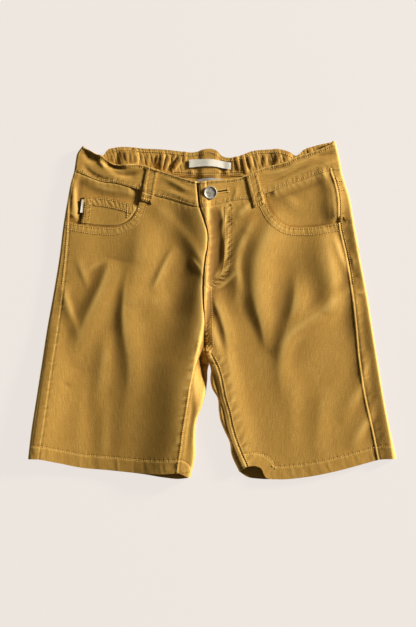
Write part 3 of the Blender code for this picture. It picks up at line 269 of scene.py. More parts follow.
# Each fold is a soft ridge, or a trough where its heights are below zero, along a smooth curve
# through its rows: x and y in squares, its half widths to the left and the right of the way in
# millimetres, and its height.
SOFT_FOLDS = (
    # the right front rises to the fly and the inseam
    ((206, 192, 5, 34, 1.4), (206, 206, 5, 34, 3.8), (206, 222, 5, 28, 4.2), (206, 242, 5, 20, 4.0),
     (206, 262, 5, 17, 4.0), (205, 280, 5, 18, 4.8), (204, 300, 5, 22, 6.4), (203, 320, 3, 27, 8.0),
     (199, 340, 3, 30, 9.4), (194, 362, 4.5, 34, 10.4), (189, 378, 14, 36, 10.9),
     (185, 395, 27, 38, 11.1), (181, 420, 30, 40, 10.8), (177, 450, 31, 40, 10.0),
     (172, 485, 31, 39, 8.8)),
    # the right leg's inner strip
    ((203, 350, 5, 5, 0), (204, 360, 7, 7, -2.6), (205, 372, 7, 8, -3.4), (205, 386, 6, 8, -3.0),
     (203, 398, 5, 7, -1.2), (200, 410, 4, 6, 0)),
    ((205, 392, 3, 8, 0), (202, 406, 3, 9, 1.8), (198, 425, 3, 8, 1.4), (196, 460, 3, 7, 1.1)),
    ((194, 368, 3, 3, 0), (192, 385, 3, 3, -0.6), (192, 410, 4, 3, -1.0), (189, 432, 4, 3, -1.0),
     (186, 455, 4, 3, -0.4), (184, 470, 3, 3, 0)),
    # right thigh, slanting
    ((112, 258, 20, 6, 0), (108, 272, 22, 7, 1.9), (102, 288, 22, 8, 3.0), (94, 306, 22, 9, 3.1),
     (86, 324, 20, 10, 2.5), (79, 344, 18, 10, 1.4), (73, 366, 16, 9, 0)),
    # right thigh, down the middle
    ((130, 262, 14, 6, 0), (127, 281, 16, 5, 0.7), (125, 298, 18, 6, 1.8), (124, 315, 18, 7, 2.6),
     (126, 335, 18, 9, 2.5), (130, 358, 18, 10, 2.1), (131, 380, 18, 10, 1.7),
     (128, 405, 18, 12, 1.3), (124, 435, 18, 12, 0.9), (120, 490, 16, 11, 0)),
    # right hip
    ((146, 212, 14, 12, 0), (142, 232, 18, 13, 1.2), (139, 256, 20, 14, 1.9), (137, 280, 18, 13, 1.4),
     (132, 306, 14, 10, 0)),
    ((176, 246, 7, 3, 0), (169, 257, 7, 3, 0.7), (162, 270, 7, 3, 1.0), (157, 281, 7, 3, 0.9),
     (151, 294, 7, 3, 0)),
    ((109, 328, 9, 8, 0), (105, 350, 9, 8, 0.9), (102, 372, 9, 8, 1.0), (98, 396, 9, 8, 0.7),
     (96, 422, 9, 8, 0)),
    # along the right outseam
    ((60, 316, 12, 12, 0), (55, 340, 14, 14, 1.8), (50, 365, 20, 16, 4.0), (45, 390, 24, 18, 5.8),
     (41, 415, 27, 20, 7.0), (38, 440, 28, 20, 7.2), (35, 465, 28, 20, 6.4), (32, 495, 28, 20, 5.0)),
    ((64, 282, 5, 5, 0), (66, 297, 5, 6, 1.1), (70, 310, 5, 7, 1.2), (74, 323, 5, 7, 0.8),
     (79, 338, 4, 5, 0)),
    ((108, 259, 4, 6, 0), (98, 264, 4, 6, 0.5), (90, 269, 4, 6, 0.5), (81, 277, 4, 6, 0)),
    ((77, 254, 5, 4, 0), (81, 267, 5, 4, 0.5), (85, 278, 5, 4, 0.5), (89, 290, 5, 4, 0)),
    ((170, 295, 12, 16, 0), (155, 300, 12, 16, 0.8), (138, 302, 12, 16, 0.9), (120, 304, 12, 16, 0)),
    ((85, 370, 9, 9, 0), (82, 395, 9, 9, 0.4), (80, 425, 9, 9, 0.5), (78, 485, 9, 9, 0)),
    ((107, 394, 7, 8, 0), (104, 420, 7, 8, 0.5), (103, 450, 7, 8, 0.6), (102, 490, 7, 8, 0)),
    ((62, 380, 3, 3, 0), (67, 384, 3, 3, -0.3), (73, 387, 3, 3, 0)),
    # pulls towards the fly
    ((150, 203, 8, 12, 0), (165, 216, 8, 12, 1.1), (180, 232, 8, 10, 1.4), (194, 250, 7, 9, 1.2),
     (204, 268, 4, 8, 0.8), (208, 284, 4, 8, 0)),
    ((189, 256, 3, 4, 0), (196, 265, 3, 4, 0.9), (205, 278, 3, 4, 0)),
    # the left leg's deep fold and its neighbours
    ((285, 206, 16, 8, 0), (275, 222, 18, 12, 2.6), (267, 238, 20, 15, 4.3),
     (260, 254, 20, 16, 4.9), (256, 270, 20, 16, 4.9), (255, 288, 18, 14, 4.2),
     (257, 306, 16, 10, 3.2), (261, 322, 14, 7, 2.2), (264, 338, 12, 5, 1.0), (267, 352, 12, 5, 0)),
    ((246, 234, 5, 8, 0), (239, 250, 6, 8, 1.0), (236, 266, 6, 9, 1.9), (237, 280, 6, 10, 2.0),
     (237, 296, 8, 8, 1.2), (236, 314, 8, 8, 0)),
    ((211, 288, 9, 4, 0), (216, 304, 9, 4, 1.2), (221, 318, 9, 4, 1.7), (226, 336, 10, 4, 1.7),
     (229, 352, 10, 5, 1.2), (232, 372, 10, 5, 0.6), (236, 394, 10, 5, 0)),
    # the left inseam
    ((211, 314, 7, 6, 0), (213, 332, 7, 7, 2.0), (216, 345, 9, 9, 2.6), (221, 362, 12, 14, 3.1),
     (226, 385, 15, 26, 3.4), (231, 408, 16, 30, 3.4), (236, 430, 17, 30, 3.1),
     (242, 452, 16, 30, 2.6), (250, 485, 16, 30, 1.8)),
    ((213, 368, 3, 3, 0), (217, 384, 4, 3, -0.7), (223, 405, 4, 3, -0.9), (229, 425, 4, 3, -0.4),
     (233, 440, 4, 3, 0)),
    # left thigh
    ((320, 224, 14, 14, 0), (325, 243, 14, 20, 2.7), (328, 262, 14, 23, 4.3), (330, 280, 14, 20, 3.8),
     (329, 297, 10, 14, 1.7), (325, 314, 10, 12, 0)),
    ((358, 279, 17, 8, 0), (345, 295, 18, 10, 2.0), (330, 306, 18, 11, 3.3), (314, 318, 18, 11, 3.3),
     (298, 330, 18, 10, 2.5), (284, 342, 16, 9, 1.3), (270, 354, 12, 9, 0)),
    ((300, 258, 14, 8, 0), (298, 274, 16, 8, 0.6), (296, 292, 18, 8, 2.0), (294, 308, 18, 9, 2.9),
     (290, 322, 16, 9, 2.7), (285, 336, 14, 9, 2.3), (282, 352, 13, 9, 1.9), (281, 370, 12, 9, 1.3),
     (283, 390, 12, 9, 0.7), (286, 414, 9, 8, 0)),
    ((333, 232, 4, 5, 0), (337, 246, 4, 5, 1.1), (341, 258, 4, 5, 1.2), (346, 270, 4, 5, 0.8),
     (351, 284, 4, 5, 0)),
    ((352, 284, 5, 7, 0), (354, 300, 5, 8, 1.4), (356, 318, 5, 9, 1.4), (358, 336, 5, 9, 1.0),
     (361, 356, 5, 9, 0.7), (365, 380, 5, 9, 0.6), (370, 404, 5, 9, 0)),
    ((366, 350, 5, 10, 0), (363, 370, 5, 10, 1.2), (358, 388, 6, 11, 1.4), (349, 404, 8, 10, 1.0),
     (336, 420, 8, 10, 0)),
    ((374, 398, 5, 8, 0), (368, 416, 5, 9, 1.3), (359, 432, 6, 9, 1.3), (348, 450, 8, 8, 0)),
    ((298, 368, 10, 8, 0), (294, 395, 10, 8, 0.6), (292, 425, 10, 8, 0.5), (290, 460, 10, 8, 0)),
    ((325, 384, 10, 9, 0), (321, 410, 10, 9, 0.6), (318, 440, 10, 9, 0.5), (316, 480, 10, 9, 0)),
    # the back's strip beside the left outseam rises to the fold
    ((347, 196, 3, 10, 0), (351, 214, 3, 11, 1.8), (356, 240, 3, 11, 2.0), (362, 275, 3, 12, 2.2),
     (368, 310, 3, 13, 2.3), (375, 350, 3, 13, 2.3), (382, 395, 3, 13, 2.3), (389, 440, 3, 13, 2.1),
     (392, 460, 3, 13, 2.1)),
    ((349, 252, 3, 3, 0), (352, 262, 3, 3, 0.6), (353, 272, 3, 3, 0)),
    ((354, 293, 2, 3, 0), (359, 293, 2, 3, 0.5), (365, 292, 2, 3, 0)),
    # the left facing rises to its outer end
    ((319, 165, 3, 4, 0), (324, 176, 4, 7, 1.3), (330, 190, 5, 9, 1.9), (332, 205, 5, 11, 2.2),
     (333, 217, 5, 9, 1.7), (331, 228, 4, 7, 0)),
    ((330, 165, 6, 30, 0), (337, 190, 6, 36, 1.6), (338, 212, 6, 36, 1.5), (336, 236, 6, 30, 0)),
    # the front waistband's soft folds
    ((262, 176, 3, 3, 0), (280, 171, 3, 3, 0.6), (300, 163, 3, 3, 0.7), (322, 155, 3, 3, 0)),
    ((275, 181, 3, 4, 0), (298, 173, 3, 4, 0.6), (318, 167, 3, 4, 0.6), (334, 161, 3, 4, 0)),
    ((83, 164, 3, 3, 0), (90, 173, 3, 3, -0.9), (101, 179, 3, 3, -0.9), (114, 181, 3, 3, 0)),
    ((106, 166, 3, 3, 0), (118, 174, 3, 3, -0.9), (131, 175, 3, 3, -0.9), (143, 171, 3, 3, 0)),
    ((84, 183, 4, 4, 0), (100, 189, 4, 4, 0.7), (122, 193, 4, 4, 0.6), (140, 196, 4, 4, 0)),
    ((161, 178, 3, 4, 0), (173, 183, 3, 4, 0.7), (186, 190, 3, 4, 0.7), (199, 193, 3, 4, 0)),
    ((162, 192, 3, 3, 0), (174, 194, 3, 3, 0.5), (188, 200, 3, 3, 0.4), (199, 201, 3, 3, 0)),
    ((236, 184, 3, 3, 0), (236, 194, 3, 3, 0.6), (232, 203, 3, 3, 0)),
    # the zip's bulge ends in a hollow, with crinkles beyond it
    ((217, 208, 2, 6, 0), (220, 222, 3, 9, -0.8), (220, 245, 3, 9, -0.9), (219, 262, 3, 9, -0.8),
     (213, 274, 2.5, 6, 0)),
    ((222, 205, 2, 3, 0), (222, 214, 2, 3, 0.7), (219, 222, 2, 3, 0)),
    ((229, 206, 2, 3, 0), (226, 215, 2, 3, 0.8), (222, 230, 2, 3, 0.7), (224, 243, 2, 3, 0)),
    ((230, 232, 2, 3, 0), (226, 243, 2, 3, 0.8), (225, 256, 2, 3, 0.7), (221, 268, 2, 3, 0)),
    ((231, 262, 2, 4, 0), (225, 270, 2, 4, 0.9), (217, 276, 2, 4, 0.8), (209, 279, 2, 4, 0)),
    ((236, 272, 2, 4, 0), (229, 279, 2, 4, 0.9), (221, 286, 2, 4, 0.8), (213, 290, 2, 4, 0)),
    # the thick end of the seat's seam
    ((204, 346, 5, 5, 0), (205.5, 350, 6, 6, 2.6), (206, 356, 6, 6, 3.0), (206, 361, 6, 6, 2.6),
     (205.5, 366, 5, 5, 0)),
    ((202, 336, 2, 3, 0), (200, 344, 2, 3, 1.0), (199, 351, 2, 3, 1.1), (201, 358, 2, 3, 0)),
)

# Shorter creases: each a ridge or trough from its start past a middle point to its end, in
# millimetres, with half widths left and right of the way.
CREASE_NAMES = "x0 y0 x1 y1 x2 y2 left right height"
CREASES = table(
    CREASE_NAMES,
    (-60, 118, -42, 102, -19, 56, 12, 10, -1.0),
    (47, 124, 35, 116, 25, 104, 5, 4, 0.9),
    (53, 112, 34, 83, 22, 56, 6, 5, 1.0),
    # the pocket facings
    (96, 132, 89, 122, 85, 111, 10, 10, 0.6),
    (-157, 150, -159, 127, -156, 99, 4, 4, 1.6),
    (-147, 129, -150, 116, -151, 99, 3, 3, -1.2),
    # the front waistband
    (-129, 175, -118, 162, -97, 163, 4, 3, -2.2),
    (-147, 185, -141, 166, -124, 175, 4, 4, -1.3),
    (-133, 173, -126, 170, -121, 162, 4, 3, 1.2),
    (-150, 187, -131, 181, -121, 172, 3, 3, 1.4),
    (-121, 172, -111, 164, -83, 167, 3, 3, 1.3),
    (-106, 155, -97, 159, -85, 152, 5, 5, -0.6),
    (-60, 148, -46, 143, -30, 136, 6, 6, -0.6),
    (57, 157, 76, 164, 94, 167, 3, 3, -1.0),
    (57, 143, 89, 155, 115, 168, 3, 3, -0.9),
    (112, 175, 129, 178, 145, 183, 3, 3, -0.8),
    (122, 164, 133, 168, 147, 173, 4, 4, 0.7),
    # beside the fly
    (-4, 111, -1, 86, -4, 58, 3, 3, 0.6),
    (12, 119, 18, 104, 23, 90, 4, 4, -0.6),
)
CREASE_FADE = 0.4      # share of a crease's length over which it dies away at each end

# Ribs that the elastic draws up in the back waistband, from their tops down.
RIBS = table(
    CREASE_NAMES,
    (-114, 181, -114, 176, -114, 169, 2.4, 2.2, 0.5),
    (-106, 184, -106, 177, -105, 166, 2.2, 2.4, 0.4),
    (-99, 184, -99, 178, -98, 170, 2.2, 2.4, 0.7),
    (-92, 184, -93, 176, -93, 168, 2.0, 2.0, 0.4),
    (-87, 181, -87, 174, -88, 167, 2.2, 2.4, 0.7),
    (-80, 184, -81, 175, -82, 164, 2.2, 2.2, 0.4),
    (-73, 184, -74, 175, -75, 163, 2.2, 2.2, 0.5),
    (-67, 184, -68, 174, -69, 160, 1.8, 2.0, 0.4),
    (-61, 181, -63, 173, -66, 164, 2.0, 1.8, 1.3),
    (-57, 184, -58, 172, -60, 158, 2.2, 2.6, 2.3),
    (-49, 181, -52, 170, -57, 158, 2.2, 2.4, 1.7),
    (-42, 183, -44, 176, -47, 169, 2.0, 2.0, 0.8),
    (-33, 181, -40, 171, -49, 158, 2.4, 2.6, 2.2),
    (-31, 184, -32, 178, -33, 169, 1.8, 2.0, 1.1),
    (-25, 163, -24, 158, -24, 152, 2.2, 2.2, 1),
    (-14, 164, -13, 158, -13, 152, 2.2, 2.2, 0.5),
    (6, 164, 7, 159, 8, 153, 2.2, 2.2, 0.6),
    (13, 164, 16, 159, 18, 153, 2.2, 2.2, 1.1),
    (22, 177, 23, 168, 24, 157, 2.2, 2.2, 1.2),
    (26, 180, 28, 170, 32, 157, 2.2, 2.4, 1.9),
    (34, 180, 36, 168, 39, 154, 2.2, 2.6, 2.1),
    (41, 181, 42, 172, 46, 161, 2.2, 2.2, 1.5),
    (50, 183, 51, 175, 52, 162, 2.2, 2.4, 0.6),
    (61, 182, 60, 173, 59, 163, 2.4, 2.4, 0.9),
    (69, 184, 68, 176, 67, 167, 2.2, 2.2, 0.5),
    (77, 182, 76, 176, 73, 168, 2.4, 2.4, 0.8),
    (86, 182, 85, 176, 83, 170, 2.4, 2.4, 0.5),
    (100, 181, 99, 177, 98, 172, 2.4, 2.4, 0.5),
    (113, 187, 112, 181, 111, 174, 2.4, 2.4, 0.7),
    (126, 190, 126, 184, 125, 178, 2.4, 2.4, 0.5),
)

# Soft dents in the ground side, which lies on its surface and can only bend up from it.
BACK_CREASES = table(
    CREASE_NAMES,
    (-30, 90, -60, 60, -70, 10, 8, 6, 0.9),
    (-110, -40, -120, -80, -118, -130, 8, 6, 0.7),
    (-60, -60, -50, -100, -60, -140, 9, 7, 0.8),
    (25, 92, 40, 50, 55, 12, 7, 6, 0.9),
    (120, -30, 105, -70, 112, -120, 9, 7, 0.8),
    (60, -50, 70, -90, 60, -130, 8, 6, 0.6),
    (-12, 60, -16, 10, -30, -40, 6, 5, 0.8),
    (8, 50, 10, 0, 20, -45, 6, 5, 0.8),
)


# ---------------------------------------------------------------- curves and regions

def hermite(knots, values, at):
    """A smooth curve through a table's rows, read at any place between them."""
    if knots[0] > knots[-1]:
        knots, values = knots[::-1], values[::-1]
    at = np.clip(np.asarray(at, float), knots[0], knots[-1])
    slope = np.gradient(values, knots)
    i = np.clip(np.searchsorted(knots, at) - 1, 0, len(knots) - 2)
    h = knots[i + 1] - knots[i]
    t = (at - knots[i]) / h
    return (
        (1 + 2 * t) * (1 - t) ** 2 * values[i] + t * (1 - t) ** 2 * h * slope[i]
        + t * t * (3 - 2 * t) * values[i + 1] - t * t * (1 - t) * h * slope[i + 1]
    )


def smooth(tab, column, at):
    """A column of a table as a smooth curve over its first column."""
    return hermite(next(iter(tab.values())), tab[column], at)


def ease(t):
    """0 below 0, 1 above 1, and a soft S between them."""
    t = np.clip(t, 0, 1)
    return t * t * (3 - 2 * t)


def bump(off, width):
    """A soft hump one high, about two widths across."""
    return np.exp(-(off / width) ** 2)


def steps(start, end, step):
    """Even places from a start to an end, a step or a little less apart."""
    return np.linspace(start, end, max(1, math.ceil(abs(end - start) / step)) + 1)


def up_down(tab, column="x", start=None, end=None, step=FINE):
    """Points of an x(y) column between two heights, or down the whole table."""
    y = steps(tab["y"][0] if start is None else start, tab["y"][-1] if end is None else end, step)
    return np.stack([smooth(tab, column, y), y], 1)


def across(tab, column="y", start=None, end=None, step=FINE):
    """Points of a y(x) column between two places, or along the whole table."""
    x = steps(tab["x"][0] if start is None else start, tab["x"][-1] if end is None else end, step)
    return np.stack([x, smooth(tab, column, x)], 1)


def corners(tab):
    """A table's x and y as points."""
    return np.stack([tab["x"], tab["y"]], 1)


def rounded(tab, parts=10):
    """Points of a table as a smooth curve, each stretch in a few parts."""
    points = corners(tab)
    places = np.arange(len(points))
    at = np.linspace(0, len(points) - 1, parts * (len(points) - 1) + 1)
    return np.stack([hermite(places, points[:, k], at) for k in (0, 1)], 1)


def line(*points, step=FINE):
    """Straight stretches between points, divided into small steps."""
    points = np.array(points, float)
    found = [points[:1]]
    for a, b in zip(points[:-1], points[1:]):
        t = steps(0, 1, step / math.hypot(*(b - a)))[1:, None]
        found.append(a + (b - a) * t)
    return np.concatenate(found)


def lengths(run):
    """How far along a run each of its points is."""
    return np.concatenate([[0], np.cumsum(np.hypot(*np.diff(run, axis=0).T))])


def offset(run, away):
    """A run moved to the left of its way."""
    way = np.gradient(run, axis=0)
    return run + np.stack([-way[:, 1], way[:, 0]], 1) / np.hypot(*way.T)[:, None] * away


def thinned(run, step):
    """The same run with points about a step apart."""
    length = lengths(run)
    at = steps(0, length[-1], step)
    return np.stack([np.interp(at, length, run[:, k]) for k in (0, 1)], 1)


def beside(x, y, run):
    """For each point, how far along a run its nearest place is, and how far left of the way."""
    a, b = run[:-1], run[1:]
    way = b - a
    length = np.hypot(*way.T)
    px, py = x[:, None] - a[:, 0], y[:, None] - a[:, 1]
    t = np.clip((px * way[:, 0] + py * way[:, 1]) / length ** 2, 0, 1)
    dx, dy = px - t * way[:, 0], py - t * way[:, 1]
    nearest = (dx ** 2 + dy ** 2).argmin(1)
    rows = np.arange(len(x))
    dx, dy, t = dx[rows, nearest], dy[rows, nearest], t[rows, nearest]
    left = np.sign(way[nearest, 0] * dy - way[nearest, 1] * dx)
    start = np.concatenate([[0], np.cumsum(length)])[nearest]
    return start + t * length[nearest], np.hypot(dx, dy) * left


def near(x, y, run, reach):
    """Which points may lie within a reach of a run."""
    low, high = run.min(0) - reach, run.max(0) + reach
    return np.flatnonzero((x > low[0]) & (x < high[0]) & (y > low[1]) & (y < high[1]))


def inside(x, y, border):
    """Whether each point lies in a closed border."""
    found = np.zeros(len(x), bool)
    for (ax, ay), (bx, by) in zip(border, np.roll(border, -1, 0)):
        if ay != by:
            level = (ay > y) != (by > y)
            found[level] ^= x[level] < (bx - ax) * (y[level] - ay) / (by - ay) + ax
    return found


STRETCH = 60           # points of a run that are looked at together


def distance(x, y, run, reach):
    """How far each point is from a run, read only up to a reach, one stretch after another."""
    away = np.full(len(x), float(reach))
    for first in range(0, len(run) - 1, STRETCH):
        piece = run[first:first + STRETCH + 1]
        here = near(x, y, piece, reach)
        if len(here):
            away[here] = np.minimum(away[here], np.abs(beside(x[here], y[here], piece)[1]))
    return away


# ---------------------------------------------------------------- heights of the cloth

FOLDS = [(SIDES["right"], "fold"), (SIDES["left"], "fold"),
         (INNER_FOLDS["right"], "x"), (INNER_FOLDS["left"], "x")]


def roll(x, y):
    """0 on a fold's outermost line, 1 where the cloth has rolled over."""
    reach = np.full(len(x), FOLD_REACH)
    for tab, column in FOLDS:
        level = np.clip(y, tab["y"].min(), tab["y"].max())
        away = np.hypot(x - smooth(tab, column, level), y - level)
        reach = np.minimum(reach, away)
    share = np.clip((reach - ON_FOLD) / (FOLD_REACH - ON_FOLD), 0, 1)
    return np.sqrt(1 - (1 - share) ** 2)


BUMP_REACH = 2.5       # widths from its middle at which a hump is as good as nothing


def traced(rows):
    """A fold's rows as a fine curve, with its widths and height along it."""
    rows = np.array(rows, float)
    places = np.arange(len(rows))
    at = np.linspace(0, len(rows) - 1, 5 * (len(rows) - 1) + 1)
    x, y, left, right, height = (hermite(places, rows[:, k], at) for k in range(5))
    path = np.stack([(x - GRID_X0) * GRID, (GRID_Y0 - y) * GRID], 1)
    return path, lengths(path), np.maximum(left, 1), np.maximum(right, 1), height


def folded(x, y):
    """Height that the folds add. Below the crotch each moves only its own leg."""
    high = np.zeros(len(x))
    for path, length, left, right, height in TRACED:
        here = near(x, y, path, BUMP_REACH * max(left.max(), right.max()))
        own_leg = (x[here] < CENTRE_X) == (path[:, 0].mean() < CENTRE_X)
        here = here[own_leg | (y[here] > TIP_Y)]
        if len(here):
            along, off = beside(x[here], y[here], path)
            wide_left, wide_right, rise = (np.interp(along, length, v) for v in (left, right, height))
            high[here] += rise * bump(off, np.where(off > 0, wide_left, wide_right))
    return high


TRACED = [traced(rows) for rows in SOFT_FOLDS]


def creased(x, y, tab):
    """Height that the creases of a table add."""
    high = np.zeros(len(x))
    t = np.linspace(0, 1, 15)[:, None]
    for k in range(len(tab["x0"])):
        start, middle, end = ([tab["x" + n][k], tab["y" + n][k]] for n in "012")
        path = (1 - t) ** 2 * start + 2 * t * (1 - t) * np.array(middle) + t * t * np.array(end)
        left, right = tab["left"][k], tab["right"][k]
        here = near(x, y, path, BUMP_REACH * max(left, right))
        if not len(here):
            continue
        along, off = beside(x[here], y[here], path)
        share = along / np.hypot(*np.diff(path, axis=0).T).sum()
        ends = ease(share / CREASE_FADE) * ease((1 - share) / CREASE_FADE)
        high[here] += tab["height"][k] * ends * bump(off, np.where(off > 0, left, right))
    return high


def wobble(at, seed, *waves):
    """A smooth uneven wave between -1 and 1, the same each time, of a few wave lengths."""
    draw = np.random.default_rng(seed)
    total = 0
    for length in waves:
        for share in (1, 0.62):
            total = total + np.sin(2 * math.pi * (at / (length * share) + draw.random()))
    return total / (2 * len(waves))


def uneven(x, y):
    """The slight unevenness of washed cloth that has been laid down by hand."""
    draw = np.random.default_rng(11)
    high = np.zeros(len(x))
    for length, height in ((70, 0.3), (38, 0.12)):
        for _ in range(5):
            turn = draw.normal(0, 0.5)
            shift = draw.random() * 2 * math.pi
            way = x * math.cos(turn) + y * math.sin(turn) * 0.6
            wave = way / (length * draw.uniform(0.8, 1.25))
            high += height / 2.2 * np.sin(2 * math.pi * wave + shift)
    return high


def base(x, y):
    """The front's upper face with no relief."""
    beside_fly = (x - BUTTON_AT[0]) / FLY_STACK_REACH
    start, end = FLY_STACK_Y
    stack = FLY_STACK * np.exp(-beside_fly ** 2) * ease((y - start) / (end - start))
    return smooth(HEIGHTS, "height", y) + stack


# Seams on the upper side. Each function makes one kind of relief along a run.

def groove(off, at, depth, width):
    """A soft groove a little way beside a run, as where stitches pull the cloth down."""
    return -depth * bump(off - at, width)


def terrace(off, start, end, height, soft=1.2):
    """Raised cloth between two distances from a run, as over seam allowances."""
    return height * ease((off - start) / soft + 0.5) * ease((end - off) / soft + 0.5)


def puckers(along, off, at, reach, pitch, height, seed, lean=0.6):
    """Short slanting ripples that a stitched seam draws into the cloth, never two alike."""
    phase = (along + lean * off) / pitch + 0.35 * wobble(along, seed, 31, 17)
    strength = 0.6 + 0.4 * wobble(along, seed + 1, 43, 23)
    return height * strength * np.sin(2 * math.pi * phase) * bump(off - at, reach)


def seam_runs():
    """The seams of the upper side, by name."""
    runs = {}
    for side in SIDES:
        hem_ends = sorted((INSEAMS[side]["x"][-1], SIDES[side]["fold"][-1]))
        runs["outseam_" + side] = up_down(SIDES[side], "seam", BACK_SEAM_SIDE_Y[side], step=4)
        runs["inseam_" + side] = up_down(INSEAMS[side], step=3)
        runs["hem_" + side] = across(HEMS[side], "front", *hem_ends, 4)
        runs["mouth_" + side] = rounded(MOUTHS[side], 4)
    runs["waist"] = across(WAIST_SEAM, step=3)
    runs["band_top"] = across(BAND_TOP, step=3)
    runs["fly"] = up_down(FLY_EDGE, step=4)
    runs["coin_top"] = across(COIN_TOP, step=4)
    runs["coin_side"] = line((COIN_TOP["x"][0], COIN_TOP["y"][0]), COIN_FOOT, step=4)
    runs["j_stitch"] = thinned(rounded(J_STITCH, 6), 3)
    return runs


SEAMS = seam_runs()


def seam_relief(x, y):
    """Welts, grooves and ripples along the upper side's seams."""
    high = np.zeros(len(x))

    def lay(name, reach, shape):
        here = near(x, y, SEAMS[name], reach)
        if len(here):
            along, off = beside(x[here], y[here], SEAMS[name])
            inner = np.abs(off) < reach
            high[here[inner]] += shape(along[inner], off[inner])

    # A run keeps its way on both legs, so off is turned about to lie on the same side of the seam.
    for side, sign in INWARD.items():
        def outseam(s, off, sign=sign):
            strip = off * -sign
            welt = (0.1, 9.0, 0.2, 1.4) if sign > 0 else (-2.6, -0.2, 0.4, 0.9)
            return (
                terrace(strip, *welt) + groove(strip, 0.6 * -sign, 0.25, 0.9)
                + puckers(s, off, 2.0 * -sign, 5.0, 11.0, 0.2, 3 + sign)
            )

        def inseam(s, off, sign=sign):
            strip = off * sign
            return (
                terrace(strip, -3.0, 0.4, 0.3, 2.5) + groove(strip, 0.6, 0.35, 0.7)
                + (terrace(strip, 0.6, 6.0, 0.8, 1.4) if sign < 0 else 0)
                + puckers(s, off, -5.0 * sign, 5.0, 12.0, 0.35, 7 + sign)
            )

        def hem(s, off):
            return (
                terrace(off, -2.0, HEM_DEPTH, 0.35, 2.0) + groove(off, HEM_DEPTH, 0.3, 0.9)
                + puckers(s, off, 7.0, 6.5, 11.5, 0.15, 13, lean=0.2)
                + puckers(s, off, HEM_DEPTH + 1, 3.0, 6.0, 0.1, 17, lean=0.2)
            )

        def mouth(s, off, sign=sign):
            panel = off * sign
            return (
                terrace(panel, 0.0, MOUTH_ROWS[1] + 0.5, 0.2, 3.0)
                + groove(panel, MOUTH_ROWS[0], 0.2, 0.7) + groove(panel, MOUTH_ROWS[1], 0.2, 0.8)
                + puckers(s, off, 4.5 * sign, 3.5, 4.6, 0.22, 19, lean=0.15)
            ) * (panel > 0)

        lay("outseam_" + side, 16, outseam)
        lay("inseam_" + side, 14, inseam)
        lay("hem_" + side, 26, hem)
        lay("mouth_" + side, 14, mouth)

    def waist(s, off):
        return (
            groove(off, -0.4, 0.35, 0.8) + groove(off, 2.0, 0.2, 0.7)
            + puckers(s, off, -4.0, 4.0, 7.5, 0.1, 23, lean=0.3)
            + puckers(s, off, 3.0, 3.0, 6.0, 0.14, 29, lean=-0.3)
        )

    def band_top(s, off):
        return (
            groove(off, -3.0, 0.25, 0.8) + 0.35 * bump(off + 1.0, 1.1)
            + puckers(s, off, -2.0, 3.0, 6.5, 0.16, 31, lean=-0.4)
        )

    def fly(s, off):
        rise = ease((s - 150) / 20)
        return (
            terrace(off, 0.1, 8.0, 0.2, 1.2) + groove(off, 1.6, 0.2, 0.7)
            + puckers(s, off, 3.5, 4.0, 4.4, 0.85, 37, lean=0.9) * rise
            + puckers(s, off, 4.0, 5.0, 9.0, 0.2, 41, lean=0.5) * (1 - rise)
        )

    def j_stitch(s, off):
        return groove(off, 0, 0.25, 0.8) + puckers(s, off, -2.0, 4.0, 6.0, 0.4, 43, lean=0.8)

    lay("waist", 12, waist)
    lay("band_top", 9, band_top)
    lay("fly", 16, fly)
    lay("j_stitch", 12, j_stitch)
    return high


def relief(x, y):
    """All that stands over or under the front's smooth form."""
    return folded(x, y) + creased(x, y, CREASES) + seam_relief(x, y) + uneven(x, y)


def lifted(x, y):
    """Height of the back's outer face over the ground, where it lies on a pocket or a loop."""
    high = np.zeros(len(x))
    for border in UNDER_PIECES:
        here = near(x, y, border, RISE_BLEND)
        away = np.abs(beside(x[here], y[here], closed(border))[1])
        away = np.where(inside(x[here], y[here], border), 0, away)
        high[here] = np.maximum(high[here], RISE * ease(1 - away / RISE_BLEND))
    return high


def gathers(x, y):
    """How the elastic draws the back waistband up into uneven ribs, flatter in its middle."""
    above = ease((y - waist_back_y(x) - 0.5) / 4) * ease((y - 140) / 10)
    fine = 0.22 * (1 + wobble(x + 0.3 * (y - 165), 53, 6.1, 4.3)) * (1 - 0.7 * bump(x + 3, 24))
    return above * (np.maximum(creased(x, y, RIBS), 0) + fine)


def upper(level=0.0):
    """Outer face of a piece on the upper side. level is a number or a function of x and y."""

    def height(x, y):
        lift = level(x, y) if callable(level) else level
        middle = FOLD_MIDDLE * base(x, y)
        top = np.maximum(base(x, y) + relief(x, y), LOWEST_TOP) + lift
        return middle + (top - middle) * roll(x, y)

    return height


def lower(x, y):
    """Outer face of the back, on the ground side."""
    middle = FOLD_MIDDLE * base(x, y)
    rise = lifted(x, y)
    down = np.maximum(rise, 0) + creased(x, y, BACK_CREASES) * (1 - ease(rise / RISE))
    return middle + (down + gathers(x, y) - middle) * roll(x, y)


# ---------------------------------------------------------------- meshes

